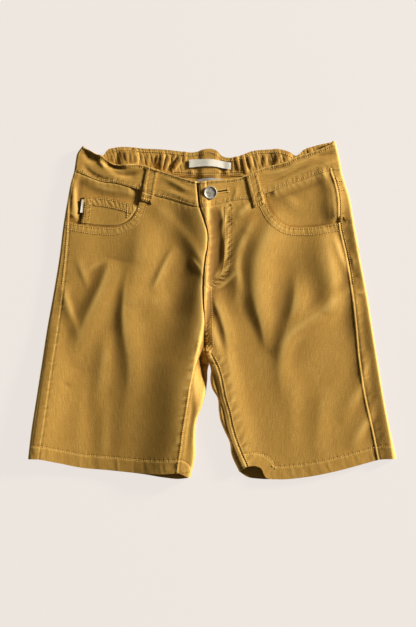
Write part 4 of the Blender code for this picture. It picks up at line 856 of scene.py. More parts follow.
def outline(*runs):
    """A closed outline from (points, gap) runs, drawn in by its gap along each run.

    Each run starts where the one before it ends, so its first point is dropped.
    """
    points, gaps = [], []
    for run, gap in runs:
        points += [tuple(p) for p in run[:-1]]
        gaps += [gap] * (len(run) - 1)
    points, gaps = np.array(points), np.array(gaps)
    for _ in range(3):
        keep = np.hypot(*(np.roll(points, -1, 0) - points).T) > SHORTEST
        points, gaps = points[keep], gaps[keep]
    after = np.roll(points, -1, 0) - points
    (x, y), (next_x, next_y) = points.T, np.roll(points, -1, 0).T
    inward = np.stack([-after[:, 1], after[:, 0]], 1) * np.sign((x * next_y - next_x * y).sum())
    inward /= np.hypot(*after.T)[:, None]
    moved = []
    for i, point in enumerate(points):
        n0, n1, g0, g1 = inward[i - 1], inward[i], gaps[i - 1], gaps[i]
        turn = n0[0] * n1[1] - n0[1] * n1[0]
        if g0 == 0 or g1 == 0:
            back, on = point - points[i - 1], points[(i + 1) % len(points)] - point
            slide = -back / np.hypot(*back) * g1 if g0 == 0 else on / np.hypot(*on) * g0
            moved.append(point + slide)
        elif abs(turn) < 0.15:
            moved.append(point + (n0 + n1) / 2 * max(g0, g1))
        else:
            shift = np.array([g0 * n1[1] - g1 * n0[1], g1 * n0[0] - g0 * n1[0]])
            moved.append(point + shift / turn)
    return np.array(moved)


def clear_of(points, taken, clear):
    """Which points keep about a distance from points already taken, by cells of that size."""
    def keys(cells):
        return cells[:, 0] * 100003 + cells[:, 1]

    cell = np.floor(points / clear).astype(np.int64)
    full = np.unique(keys(np.floor(taken / clear).astype(np.int64)))
    found = np.ones(len(points), bool)
    for i in (-1, 0, 1):
        for j in (-1, 0, 1):
            found &= ~np.isin(keys(cell + (i, j)), full)
    return found


ROW = 0.866            # between the rows of a lattice of even triangles, in steps


def closed(border):
    """A border as a run that ends where it starts."""
    return np.concatenate([border, border[:1]])


def lattice(border, step, fine_near):
    """An even lattice in a region, twice or four times as fine near the runs given."""
    low, high = border.min(0), border.max(0)
    j = np.arange(math.floor(low[1] / (FINE * ROW)), math.ceil(high[1] / (FINE * ROW)) + 1)
    i = np.arange(math.floor(low[0] / FINE) - 1, math.ceil(high[0] / FINE) + 1)
    i, j = (grid.ravel() for grid in np.meshgrid(i, j))
    x, y = (i + 0.5 * (j % 2)) * FINE, j * FINE * ROW
    keep = inside(x, y, thinned(closed(border), 2 * FINE)[:-1])
    i, j, x, y = i[keep], j[keep], x[keep], y[keep]
    away = np.full(len(x), SEAM_REACH)
    for run in fine_near:
        away = np.minimum(away, distance(x, y, run, SEAM_REACH))
    keep = np.zeros(len(x), bool)
    nearest = 0
    # away stops at SEAM_REACH, so the last share but one is a hair short of all of it.
    for size, share in ((1, FINE_SHARE), (2, 0.999), (4, 1)):
        odd = (j // size) % 2
        on = (j % size == 0) & ((i - odd * (size // 2)) % size == 0)
        coarsest = 2 * size * FINE > step * 1.01
        keep |= on & (away >= nearest) & (coarsest | (away < SEAM_REACH * share))
        if coarsest:
            break
        nearest = SEAM_REACH * share
    return np.stack([x[keep], y[keep]], 1)


def filled(border, step, fine_near=(), holes=(), cuts=(), extra=()):
    """Points and triangles of a flat region. No triangle crosses a cut, an open run of points."""
    loops = [border, *holes]
    fixed = np.concatenate([*loops, *cuts])
    new = lattice(border, step, [*fine_near, closed(border)])
    for hole in holes:
        new = new[~inside(*new.T, hole)]
    extra = np.reshape(extra, (-1, 2))
    extra = extra[inside(*extra.T, border)]
    fixed = np.concatenate([fixed, extra[clear_of(extra, fixed, SHORTEST)]])
    points = np.concatenate([fixed, new[clear_of(new, fixed, FINE * CLEAR_SHARE)]])
    edges, first = [], 0
    for loop in loops:
        edges += [(first + k, first + (k + 1) % len(loop)) for k in range(len(loop))]
        first += len(loop)
    for cut in cuts:
        edges += [(first + k, first + k + 1) for k in range(len(cut) - 1)]
        first += len(cut)
    placed, _, faces, _, _, _ = delaunay_2d_cdt([Vector(p) for p in points], edges, [], 0, 1e-5)
    placed = np.array([tuple(p) for p in placed])
    faces = np.array([f for f in faces if len(f) == 3])
    centre = placed[faces].mean(1)
    good = inside(*centre.T, border)
    for hole in holes:
        good &= ~inside(*centre.T, hole)
    return placed, faces[good]


def vertex_normals(points, faces):
    a, b, c = (points[faces[:, k]] for k in range(3))
    square = np.cross(b - a, c - a)
    total = np.zeros_like(points)
    for k in range(3):
        for axis in range(3):
            total[:, axis] += np.bincount(faces[:, k], square[:, axis], len(points))
    return total / np.maximum(np.linalg.norm(total, axis=1), 1e-12)[:, None]


def hollows(points, faces, normals, rounds):
    """How far each point lies below its neighbourhood, in millimetres; ridges are below zero."""
    edges = np.concatenate([faces[:, [0, 1]], faces[:, [1, 2]], faces[:, [2, 0]]])
    count = np.bincount(edges.ravel(), minlength=len(points))
    mean = points.copy()
    for _ in range(rounds):
        for axis in range(3):
            total = np.bincount(edges[:, 0], mean[edges[:, 1], axis], len(points))
            total += np.bincount(edges[:, 1], mean[edges[:, 0], axis], len(points))
            mean[:, axis] = total / np.maximum(count, 1)
    return ((mean - points) * normals).sum(1)


def cloth(name, node, sheets, wall=DENIM, out=0.0, material="denim", grain=0.0):
    """A shell of cloth in a node's place, from sheets that join along the folds.

    A sheet is its points, its triangles, a height function and whether it faces up, and gives the
    shell's outer face. With out above zero the shell stands that far off the sheets instead.
    grain is how far the warp is turned from the garment's length. The faces' plan is kept as
    the UV map, turned to the grain, in metres.
    """
    points, faces, first = [], [], 0
    for flat, triangles, height, faces_up in sheets:
        points.append(np.column_stack([flat, height(*flat.T)]))
        faces.append((triangles if faces_up else triangles[:, ::-1]) + first)
        first += len(flat)
    points, faces = np.concatenate(points), np.concatenate(faces)
    _, keep, same = np.unique(np.round(points, 2), axis=0, return_index=True, return_inverse=True)
    points, faces = points[keep], same.reshape(-1)[faces]
    faces = faces[(faces != np.roll(faces, 1, 1)).all(1)]
    used = np.unique(faces)
    renumber = np.zeros(len(points), int)
    renumber[used] = np.arange(len(used))
    points, faces = points[used], renumber[faces]
    normals = vertex_normals(points, faces)
    # depth in a fine hollow, below zero on ridges: from it the denim's colour gets painted shade in
    # creases, and ridges paled by wear and a painted highlight
    wear_and_painted_light = hollows(points, faces, normals, 6)
    # depth in a broad hollow, from which the denim's colour gets painted shade
    hollow_shade = hollows(points, faces, normals, 60)
    outer = points + normals * (out + wall) if out else points
    inner = points + normals * out if out else points - normals * wall
    count = len(points)
    ways = np.concatenate([faces[:, [0, 1]], faces[:, [1, 2]], faces[:, [2, 0]]])
    both = {(a, b) for a, b in ways}
    rim = np.array([(a, b) for a, b in ways if (b, a) not in both]).reshape(-1, 2)
    sides = np.column_stack([rim[:, 1], rim[:, 0], rim[:, 0] + count, rim[:, 1] + count])
    mesh = bpy.data.meshes.new(name)
    mesh.from_pydata(
        np.concatenate([outer, inner]) * MM, [],
        [*faces.tolist(), *(faces[:, ::-1] + count).tolist(), *sides.tolist()],
    )
    for attribute, values in (("wear_and_painted_light", wear_and_painted_light), ("hollow_shade", hollow_shade)):
        mesh.attributes.new(attribute, "FLOAT", "POINT").data.foreach_set(
            "value", np.tile(values, 2).astype(np.float32))
    (x, y), cos, sin = points[:, :2].T, math.cos(math.radians(grain)), math.sin(math.radians(grain))
    plan = np.tile(np.column_stack([x * cos + y * sin, y * cos - x * sin]) * MM, (2, 1))
    corner = np.empty(len(mesh.loops), np.int32)
    mesh.loops.foreach_get("vertex_index", corner)
    mesh.uv_layers.new(name="grain").data.foreach_set("uv", plan[corner].astype(np.float32).ravel())
    mesh.shade_smooth()
    mesh.set_sharp_from_angle(angle=math.radians(55))
    piece = bpy.data.objects.new(name, mesh)
    bpy.context.scene.collection.objects.link(piece)
    mesh.materials.append(MATERIALS[material])
    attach(piece, "root")
    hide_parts(node)


def fold_rings(step):
    """Rows of points beside the folds, where the cloth rolls over most sharply."""
    rings = []
    for tab, column in FOLDS:
        run = up_down(tab, column, step=step)
        for away in FOLD_RINGS:
            rings += [*offset(run, away), *offset(run, -away)]
    return np.array(rings)


RINGS = fold_rings(FINE)


def upper_sheet(border, level=0.0, step=UPPER_STEP, **more):
    """A sheet of the upper side, its form raised by a level."""
    return *filled(border, step, extra=RINGS, **more), upper(level), True


def lower_sheet(border, step=GROUND_STEP, **more):
    """A sheet of the ground side."""
    return *filled(border, step, extra=RINGS, **more), lower, False


# ---------------------------------------------------------------- the cut pieces

def waist_y(x):
    return smooth(WAIST_SEAM, "y", x)


def centre(side):
    """Where a side's back pieces end at the centre seam."""
    return CENTRE_X - INWARD[side] * GAP


def back_waist(side, end_x):
    """The back waist seam on the ground side, from the side fold to the centre back."""
    y = BACK_SEAM_SIDE_Y[side]
    fold = side_point(side, "fold", y)[0]
    share = steps(0, 1, FINE / abs(end_x - fold))
    dip = BACK_SEAM_DIP * share * (1 - share)
    return np.stack([fold + (end_x - fold) * share, y + (BACK_SEAM_Y - y) * share - dip], 1)


def waist_back_y(x):
    """Where the back waist seam lies at any x."""
    share = np.clip(np.abs(x - CENTRE_X) / 155, 0, 1)
    return BACK_SEAM_Y + 6.5 * share - BACK_SEAM_DIP * share * (1 - share)


def side_point(side, column, y):
    """The place of a side's fold or seam at a height."""
    return float(smooth(SIDES[side], column, y)), y


def back_loop_outline(x):
    half = LOOP_WIDTH / 2
    low, high = BACK_LOOP_Y
    return np.array([(x - half, low), (x + half, low), (x + half, high), (x - half, high)])


def pocket_cuts(side):
    """The back pocket's sewn edge on the ground side, and where it comes round onto the front."""
    sewn = corners(BACK_POCKETS[side])
    if side == "right":
        return line(*sewn, sewn[0]), None
    top, foot = (side_point(side, "fold", POCKET_WRAP[end]) for end in ("top", "foot"))
    return line(top, *sewn, foot), line(top, (POCKET_WRAP["reach_x"], POCKET_WRAP["top"]), foot)


def pocket_regions(side):
    """The closed outlines of the back pocket, one for each side that it shows on."""
    under, over = pocket_cuts(side)
    if side == "right":
        return [under[:-1]]
    fold = up_down(SIDES[side], "fold", POCKET_WRAP["foot"], POCKET_WRAP["top"])[1:-1]
    return [np.concatenate([under, fold]), np.concatenate([over, fold])]


UNDER_PIECES = [back_loop_outline(x) for x in BACK_LOOP_X] + [
    thinned(pocket_regions(side)[0], 6) for side in SIDES
]


def side_strip(side, fold, low, high, top_gap=GAP):
    """Outline of what comes round a side's fold onto the front, between two heights."""
    return outline(
        (fold, 0),
        (line(side_point(side, "fold", high), side_point(side, "seam", high)), top_gap),
        (up_down(SIDES[side], "seam", high, low), GAP),
        (line(side_point(side, "seam", low), side_point(side, "fold", low)), GAP),
    )


def make_back_yoke(side):
    top, foot = BACK_SEAM_SIDE_Y[side], YOKE_SIDE_Y
    fold = up_down(SIDES[side], "fold", foot, top)
    middle_foot = centre(side), YOKE_CENTRE_Y
    under = outline(
        (fold, 0),
        (back_waist(side, centre(side)), GAP),
        (line((centre(side), BACK_SEAM_Y), middle_foot), 0),
        (line(middle_foot, side_point(side, "fold", foot)), GAP),
    )
    over = side_strip(side, fold, foot, top)
    sheets = [lower_sheet(under, 2 * FINE), upper_sheet(over, step=FINE)]
    cloth("yoke_back_" + side, "back_yoke_" + side, sheets, grain=90)


def make_back_panel(side):
    hem = HEMS[side]
    outer_foot = SIDES[side]["y"][-1]
    inner_foot = INNER_FOLDS[side]["y"][-1]
    outer_x, seam_x = SIDES[side]["fold"][-1], SIDES[side]["seam"][-1]
    inner_x, inseam_x = INNER_FOLDS[side]["x"][-1], INSEAMS[side]["x"][-1]
    inseam_top, inseam = corners(INSEAMS[side])[0], up_down(INSEAMS[side])
    fold = up_down(SIDES[side], "fold", YOKE_SIDE_Y, outer_foot)
    inner_fold = up_down(INNER_FOLDS[side], "x", inner_foot, TIP_Y)
    tip = inner_fold[-1]
    crotch = (CROTCH[0] - INWARD[side] * GAP, CROTCH[1])
    middle_top = centre(side), YOKE_CENTRE_Y
    under = outline(
        (fold, 0),
        (across(hem, "back", outer_x, inner_x), 0),
        (inner_fold, 0),
        (line(tip, middle_top), 0),
        (line(middle_top, side_point(side, "fold", YOKE_SIDE_Y)), GAP),
    )
    outer_strip = outline(
        (fold, 0),
        (across(hem, "back", outer_x, seam_x), 0),
        (up_down(SIDES[side], "seam", outer_foot, YOKE_SIDE_Y), GAP),
        (line(side_point(side, "seam", YOKE_SIDE_Y), side_point(side, "fold", YOKE_SIDE_Y)), GAP),
    )
    inner_strip = outline(
        (line(tip, crotch), 0),
        (line(crotch, inseam_top), GAP),
        (inseam, GAP),
        (line((inseam_x, INSEAMS[side]["y"][-1]), (inner_x, inner_foot)), 0),
        (inner_fold, 0),
    )
    sewn, round_fold = pocket_cuts(side)
    sheets = [
        lower_sheet(under, cuts=[sewn]),
        upper_sheet(outer_strip, step=FINE, cuts=[] if round_fold is None else [round_fold]),
        upper_sheet(inner_strip, step=FINE),
    ]
    cloth("panel_back_" + side, "back_panel_" + side, sheets, grain=LEG_GRAIN[side])

    def pressed(x, y):
        """The corner that comes round onto the front is pressed flush below its stitched top."""
        from_fold = smooth(SIDES[side], "fold", y) - x
        below_top = ease((POCKET_WRAP["top"] - 2 - y) / 7)
        return upper()(x, y) - PATCH_PRESSED * below_top * ease(from_fold / 0.7)

    patch = []
    for (points, faces, height, faces_up), region in zip(sheets, pocket_regions(side)):
        faces = faces[inside(*points[faces].mean(1).T, region)]
        patch.append((points, faces, pressed if faces_up else height, faces_up))
    cloth("pocket_back_" + side, "back_pocket_" + side, patch,
          wall=PATCH_WALL, out=PATCH_CLEAR, grain=LEG_GRAIN[side])


def under_fly(lap):
    """How far the right front lies below the left along the fly."""

    def level(x, y):
        past = x - smooth(FLY_EDGE, "x", y)
        down = ease((past - FLY_STEP[0]) / (FLY_STEP[1] - FLY_STEP[0]))
        return -lap * down * ease((y - CROTCH[1] + 2) / FLY_END)

    return level


def make_front_panel(side):
    hem, edge = HEMS[side], SIDES[side]
    outer_foot, seam_x = edge["y"][-1], edge["seam"][-1]
    inseam_top, inseam_x = corners(INSEAMS[side])[0], INSEAMS[side]["x"][-1]
    mouth = rounded(MOUTHS[side], 14)
    end_y = CROTCH[1] + FLY_END
    y = np.array([*steps(FLY_EDGE["y"][2], end_y, FINE), *steps(end_y, CROTCH[1], FINE)[1:]])
    lap = (FLY_LAP + GAP) * ease((y - end_y) / 25) - GAP if side == "right" else 0
    front = np.stack([smooth(FLY_EDGE, "x", y) + lap, y], 1)
    front[0, 1] = waist_y(front[0, 0])
    border = outline(
        (mouth[::-1], GAP),
        (across(WAIST_SEAM, "y", mouth[0, 0], front[0, 0]), GAP),
        (front, 0 if side == "right" else GAP),
        (line(CROTCH, inseam_top), GAP),
        (up_down(INSEAMS[side]), GAP),
        (across(hem, "front", inseam_x, seam_x), 0),
        (up_down(edge, "seam", outer_foot, MOUTH_SIDE_Y[side]), GAP),
    )
    level = under_fly(FLY_SINK * LAP) if side == "right" else 0.0
    fine_near = [SEAMS["fly"], SEAMS["mouth_" + side], SEAMS["hem_" + side] + (0, HEM_DEPTH)]
    if side == "left":
        fine_near.append(SEAMS["j_stitch"])
    sheet = upper_sheet(border, level, fine_near=fine_near)
    cloth("panel_front_" + side, "front_panel_" + side, [sheet], grain=LEG_GRAIN[side])


def make_pocket_facing(side):
    top, foot = BACK_SEAM_SIDE_Y[side], MOUTH_SIDE_Y[side]
    hidden = thinned(offset(rounded(MOUTHS[side], 14), INWARD[side] * FACING_LAP), FINE)
    hidden[0, 1] = waist_y(hidden[0, 0])
    hidden[-1] = side_point(side, "seam", foot - FACING_LAP)
    seam_top = side_point(side, "seam", top)
    border = outline(
        (across(WAIST_SEAM, "y", seam_top[0], hidden[0, 0]), GAP),
        (hidden, 0),
        (up_down(SIDES[side], "seam", foot - FACING_LAP, top), GAP),
    )

    def level(x, y):
        """Flush at the side seam, down under the front elsewhere, less so at the waist seam."""
        from_seam = np.abs(x - smooth(SIDES[side], "seam", y))
        down = np.maximum(ease(from_seam / FACING_BLEND), ease((foot + FACING_BLEND - y) / 7))
        clear = beside(x, y, SEAMS["mouth_" + side])[1] * -INWARD[side]
        meets = ease((y - waist_y(x) + 13) / 12) * ease((clear - 4) / 9)
        return -LAP * down * (1 - 0.85 * meets) + groove(clear, 1.0, 0.4, 0.9)

    sheet = upper_sheet(border, level)
    cloth("facing_" + side, "pocket_facing_" + side, [sheet], grain=LEG_GRAIN[side])


def make_coin_pocket():
    mouth = rounded(MOUTHS["right"], 14)
    start = np.argmin(np.hypot(*(mouth - (COIN_TOP["x"][-1], COIN_TOP["y"][-1])).T))
    end = np.argmin(np.hypot(*(mouth - COIN_FOOT).T))
    foot = mouth[start:end + 1]
    top = across(COIN_TOP)
    top[-1] = foot[0]
    border = outline((top, 0), (foot, GAP), (line(foot[-1], top[0]), 0))

    def level(x, y):
        """The doubled hem along its top and the turning at its side stand up a little."""
        high = groove(beside(x, y, SEAMS["mouth_right"])[1], -1.0, 0.7, 1.0)
        for name, sign, width in (("coin_top", -1, 9.6), ("coin_side", 1, 8.0)):
            along, off = beside(x, y, SEAMS[name])
            high += terrace(off * sign, -2, width, 0.25, 3.0)
            high += groove(off * sign, 1.6, 0.2, 0.6) + groove(off * sign, width, 0.15, 0.8)
            high += puckers(along, off, sign * 5.0, 4.0, 5.5, 0.22, 61)
        return high

    sheet = upper_sheet(border, level, step=FINE)
    cloth("pocket_coin", "coin_pocket", [sheet], grain=LEG_GRAIN["right"])
    low, high = corners(TAB)
    width = np.array([TAB_WIDTH, 0])
    border = line(low - width, low, high, high - width, low - width, step=0.5)[:-1]
    sheet = upper_sheet(border, LABEL - LAP + LAY_GAP + TAB_RISE, step=FINE)
    cloth("tab_coin", "coin_pocket_tab", [sheet], wall=LABEL, material="label")


def make_fly_zip():
    y = steps(FLY_EDGE["y"][2] - 2, FLY_FOOT_Y, 2)
    left = np.stack([smooth(FLY_EDGE, "x", y) + FLY_LAP + ZIP_CLEAR, y], 1)
    border = np.concatenate([left, left[::-1] + (ZIP_WIDTH, 0)])
    sheet = upper_sheet(border, -LAP)
    cloth("zip_tape", "fly_zip", [sheet], material="zip_tape")


def make_waistband_back():
    right, left = SIDES["right"], SIDES["left"]
    right_fold = up_down(right, "fold", BACK_SEAM_SIDE_Y["right"], right["y"][0])
    left_fold = up_down(left, "fold", left["y"][0], BACK_SEAM_SIDE_Y["left"])
    under = outline(
        (right_fold, 0),
        (across(BACK_BAND_TOP, "y", right_fold[-1, 0], left_fold[0, 0]), 0),
        (left_fold, 0),
        (back_waist("left", CENTRE_X), GAP),
        (back_waist("right", CENTRE_X)[::-1], GAP),
    )
    sheets = [lower_sheet(under, FINE)]
    for side, fold in (("right", right_fold), ("left", left_fold[::-1])):
        over = side_strip(side, fold, BACK_SEAM_SIDE_Y[side], SIDES[side]["y"][0], top_gap=0)
        sheets.append(upper_sheet(over, BAND_LIFT, step=FINE))
    cloth("band_back", "waistband_back", sheets, wall=BAND, grain=90)


def keyhole():
    """Outline of the buttonhole: a round eye at the shank and a narrow slit."""
    eye, tip = np.array(BUTTON_AT), np.array(SLIT_END)
    heading = math.atan2(*(tip - eye)[::-1])
    half = math.asin(SLIT_WIDTH / 2 / HOLE_RADIUS)
    turns = heading + np.linspace(half, 2 * math.pi - half, 24)
    points = eye + HOLE_RADIUS * np.stack([np.cos(turns), np.sin(turns)], 1)
    across_slit = np.array([-math.sin(heading), math.cos(heading)]) * SLIT_WIDTH / 2
    slit = line(points[-1], tip - across_slit, tip + across_slit, points[0])
    return np.concatenate([points, slit[1:-1]])


def make_waistband_front(side):
    seam_low = BACK_SEAM_SIDE_Y[side]
    if side == "right":
        high, holes, sunk = corners(BAND_TOP)[0], [], under_fly(BAND_LAP)
        end_x = BAND_UNDERLAP_X
        end = line((end_x, waist_y(end_x)), (end_x, smooth(BAND_TOP, "y", end_x) - 1))
        top = across(BAND_TOP, "y", end_x, high[0])
    else:
        high, holes = corners(BAND_TOP)[-1], [keyhole()]
        end = up_down(FLY_EDGE, "x", FLY_EDGE["y"][2], FLY_EDGE["y"][0])
        end[0, 1] = waist_y(end[0, 0])
        top = across(BAND_TOP, "y", FLY_EDGE["x"][0], high[0])
    top[0] = end[-1]
    side_seam = up_down(SIDES[side], "seam", high[1], seam_low)
    side_seam[0] = top[-1]
    seam_x = side_point(side, "seam", seam_low)[0]
    border = outline(
        (across(WAIST_SEAM, "y", seam_x, end[0, 0]), GAP), (end, 0), (top, 0), (side_seam, GAP))

    def lift(x, y):
        return BAND_LIFT + (sunk(x, y) if side == "right" else 0)

    sheet = upper_sheet(border, lift, step=FINE, holes=holes)
    cloth("band_front_" + side, "waistband_front_" + side, [sheet], wall=BAND, grain=90)


def loop_middle(side):
    """The middles of a front loop's foot and top."""
    low_left, low_right, high_right, high_left = corners(FRONT_LOOPS[side])
    return (low_left + low_right) / 2, (high_left + high_right) / 2


def loop_level(side):
    """Crown of a front belt loop over what it crosses: flat, with pressed-up edges."""
    middle = line(*loop_middle(side), step=4)

    def level(x, y):
        along, off = beside(x, y, middle)
        over_band = 0.95 + BAND_LIFT * ease((y - waist_y(x) + 7) / 5)
        share = along / along.max() if len(along) else along
        crown = 0.35 * bump(share - 0.5, 0.3) + 0.35 * bump(np.abs(off) - 4.7, 1.0)
        ends = 0.35 * bump(along - 2.5, 2.0) + 0.5 * bump(share - 0.96, 0.05)
        sewn = groove(np.abs(off), 3.6, 0.2, 0.7)
        return over_band + crown + ends + sewn + puckers(along, off, 0, 6, 7.0, 0.2, 71)

    return level


def make_front_loop(side):
    low_left, low_right, high_right, high_left = corners(FRONT_LOOPS[side])
    border = line(low_left, high_left, high_right, low_right, low_left)[:-1]
    sheet = upper_sheet(border, loop_level(side), step=FINE)
    cloth("loop_front_" + side, "belt_loop_front_" + side, [sheet], wall=LOOP_WALL)


def make_back_loop(number, x):
    def under(px, py):
        """The turned-in edges and the sewn foot lie a little off the ground."""
        return 0.12 * bump(np.abs(px - x) - 4.0, 0.8) + 0.1 * bump(py - BACK_LOOP_Y[0] - 2, 1.2)

    border = line(*closed(back_loop_outline(x)))[:-1]
    sheet = *filled(border, FINE), under, False
    cloth("loop_back_%d" % number, "belt_loop_back_%d" % number, [sheet])


def make_label(name, tab, wall, material):
    """A woven label sewn inside the back, over cloth of a wall's thickness."""

    def height(x, y):
        wave = 0.15 * (1 + wobble(x, 81, 33, 21)) + 0.5 * bump(x - 19, 4) + 0.3 * bump(x + 25, 4)
        return wall + LAY_GAP + LABEL_RISE + RISE * bump(x - CENTRE_X, 13) + wave

    low, high = across(tab, "low"), across(tab, "high", tab["x"][-1], tab["x"][0])
    runs = low, line(low[-1], high[0]), high, line(high[-1], low[0])
    border = np.concatenate([run[:-1] for run in runs])
    sheet = *filled(border, FINE), height, True
    cloth(name + "_tape", name + "_label", [sheet],
          wall=LABEL / 2, material=material, grain=90)


# ---------------------------------------------------------------- stitches

THREAD = 0.8           # as thick as topstitch thread shows when it is pulled into the cloth
STITCH = 1.7
PITCH = 2.6
HOLE_PITCH = 1.1
BESIDE_SEAM = 1.8      # from a seam to the first row beside it
SECOND_ROW = 7.5


def stitch_shape():
    """One stitch along +X: a short bead of thread, thick in the middle, that dips in at both ends."""
    rings = ((-0.5, 0.35, -0.5), (-0.28, 0.95, 0.1), (0.28, 0.95, 0.1), (0.5, 0.35, -0.5))
    turns = np.arange(6) * math.pi / 3
    half = THREAD / 2
    points = [
        (STITCH * along, half * size * math.cos(turn), half * (size * math.sin(turn) + sink))
        for along, size, sink in rings for turn in turns
    ]
    faces = [
        (r * 6 + k, r * 6 + (k + 1) % 6, (r + 1) * 6 + (k + 1) % 6, (r + 1) * 6 + k)
        for r in range(3) for k in range(6)
    ]
    return np.array(points), [*(f[::-1] for f in faces), tuple(range(6)), tuple(range(23, 17, -1))]


def stitches(name, rows, height, faces_up=True, pitch=PITCH):
    """Rows of stitches joined in one mesh, laid on a height function along their runs."""
    shape, shape_faces = stitch_shape()
    points, faces, first = [], [], 0
    dipped = 1 - np.abs(shape[:, 0]) / np.abs(shape[:, 0]).max()
    up = 1 if faces_up else -1
    for row in rows:
        run = thinned(row, pitch)
        a, b = run[:-1], run[1:]
        middle, way = (a + b) / 2, b - a
        way = way / np.hypot(*way.T)[:, None]
        half = STITCH / 2
        za, zb = height(*(middle - way * half).T), height(*(middle + way * half).T)
        for m, w, low, high in zip(middle, way, za, zb):
            slope = (high - low) / STITCH
            x = m[0] + shape[:, 0] * w[0] - shape[:, 1] * w[1] * up
            y = m[1] + shape[:, 0] * w[1] + shape[:, 1] * w[0] * up
            z = (low + high) / 2 + shape[:, 0] * slope + up * (shape[:, 2] + THREAD * 0.12)
            points.append(np.column_stack([x, y, z]))
            faces += [tuple(first + k for k in f) for f in shape_faces]
            first += len(shape)
    mesh = bpy.data.meshes.new(name)
    mesh.from_pydata(np.concatenate(points) * MM, [], faces)
    # crown is 1 in a stitch's middle and 0 at its ends, where the thread's material paints shade
    mesh.attributes.new("crown", "FLOAT", "POINT").data.foreach_set(
        "value", np.tile(dipped, len(points)).astype(np.float32))
    mesh.shade_smooth()
    mesh.materials.append(MATERIALS["thread"])
    piece = bpy.data.objects.new(name, mesh)
    bpy.context.scene.collection.objects.link(piece)
    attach(piece, "root")


def sew_panel(side, sign):
    """Mouth, hem and inseam of a front, and what shows of the back beside it."""
    seam_x = SIDES[side]["seam"][-1]
    hem = across(HEMS[side], "front", *sorted((INSEAMS[side]["x"][-1], seam_x)))
    inseam = up_down(INSEAMS[side], start=INSEAMS[side]["y"][0] - 4)
    rows = [offset(rounded(MOUTHS[side]), sign * at) for at in MOUTH_ROWS]
    rows += [offset(hem, HEM_DEPTH), offset(inseam, sign * -BESIDE_SEAM)]
    stitches("stitches_panel_" + side, rows, upper())
    strip = across(HEMS[side], "back", *sorted((seam_x, SIDES[side]["fold"][-1])))
    outseam = up_down(SIDES[side], "seam", YOKE_SIDE_Y + 12, 30)
    rows = [offset(strip, HEM_DEPTH)[2:-3], offset(outseam, -sign * BESIDE_SEAM)]
    if side == "left":
        for y in (YOKE_SIDE_Y - 2, YOKE_SIDE_Y + 8):
            rows.append(line(side_point(side, "seam", y), side_point(side, "fold", y))[2:-3])
    stitches("stitches_strip_" + side, rows, upper())


def sew_fly():
    """The fly's edge, doubled in its lower half, and the curved stitching beside it."""
    edge = up_down(FLY_EDGE, "x", 112, CROTCH[1] + 4)
    lower_edge = edge[int(0.48 * len(edge)):]
    outer_j = rounded(J_STITCH)
    inner_j = offset(outer_j, -J_ROWS)[:-14]
    rows = [offset(edge, 1.6), offset(lower_edge, 8.2), outer_j, inner_j]
    stitches("stitches_fly", rows, upper())


def sew_waistband():
    """The front waistband's seam, top and end."""
    waist_left = across(WAIST_SEAM, "y", FLY_EDGE["x"][2] + 1, WAIST_SEAM["x"][-1] - 1)
    waist_right = across(WAIST_SEAM, "y", WAIST_SEAM["x"][0] + 1, FLY_EDGE["x"][2] - 10)
    top_left = across(BAND_TOP, "y", FLY_EDGE["x"][0] + 2, BAND_TOP["x"][-1] - 2)
    top_right = across(BAND_TOP, "y", BAND_TOP["x"][0] + 3, FLY_EDGE["x"][0] - 11)
    band_end = up_down(FLY_EDGE, "x", 121, 145)
    rows = [offset(waist_left, 2.0), offset(waist_right, 2.0), offset(top_left, -3.0),
            offset(top_right, -3.0), offset(band_end, -2.4)]
    stitches("stitches_band", rows, upper(BAND_LIFT))


def sew_front_loop(side):
    """A loop's two long rows and the bars across its ends."""
    low, high = loop_middle(side)
    low_left, low_right = corners(FRONT_LOOPS[side])[:2]
    rows = [offset(line(low, high), at)[2:-2] for at in (-LOOP_ROW, LOOP_ROW)]
    bar = line(low_left * 0.86 + low_right * 0.14, low_right * 0.86 + low_left * 0.14)
    rows += [bar + (high - low) * share for share in (0.05, 0.085, 0.95)]
    level, ends = loop_level(side), line(low, high)

    def on_loop(x, y):
        """The loop's own form, which is read with its whole length at hand."""
        lengthened = level(np.concatenate([x, ends[:, 0]]), np.concatenate([y, ends[:, 1]]))
        return upper(lambda px, py: lengthened[:len(px)])(x, y)

    stitches("stitches_loop_" + side, rows, on_loop)


def sew_inner_band():
    """The rows on the back waistband's inner face."""
    def inner_band(x, y):
        return lower(x, y) + BAND + 0.15

    top = across(BACK_BAND_TOP, "y", -124, 98)
    seam = np.stack([top[:, 0], waist_back_y(top[:, 0])], 1)
    rows = [offset(top, -3.6)[4:-4], (seam + (0, 2.2))[90:-70], (seam + (0, 4.8))[90:-70]]
    stitches("stitches_band_back", rows, inner_band)


def sew_buttonhole():
    """Close stitches along both sides of the slit, and a bar across its end."""
    eye, tip = np.array(BUTTON_AT), np.array(SLIT_END)
    slit = line(eye + (tip - eye) * 0.38, tip)
    end = line(tip + (0.6, 2.6), tip + (1.6, -2.6), step=0.5)
    rows = [offset(slit, 1.5), offset(slit, -1.5), end, end + (-1.1, -0.2)]
    stitches("stitches_hole", rows, upper(BAND_LIFT), pitch=HOLE_PITCH)


def sew_coin_pocket():
    top, side_run = SEAMS["coin_top"], SEAMS["coin_side"]
    rows = [offset(top, -1.6), offset(top, -9.6)[3:], offset(side_run, 1.6), offset(side_run, 8.0),
            line((-97, 121), (-97.5, 106))]
    stitches("stitches_coin", rows, upper(0.15))


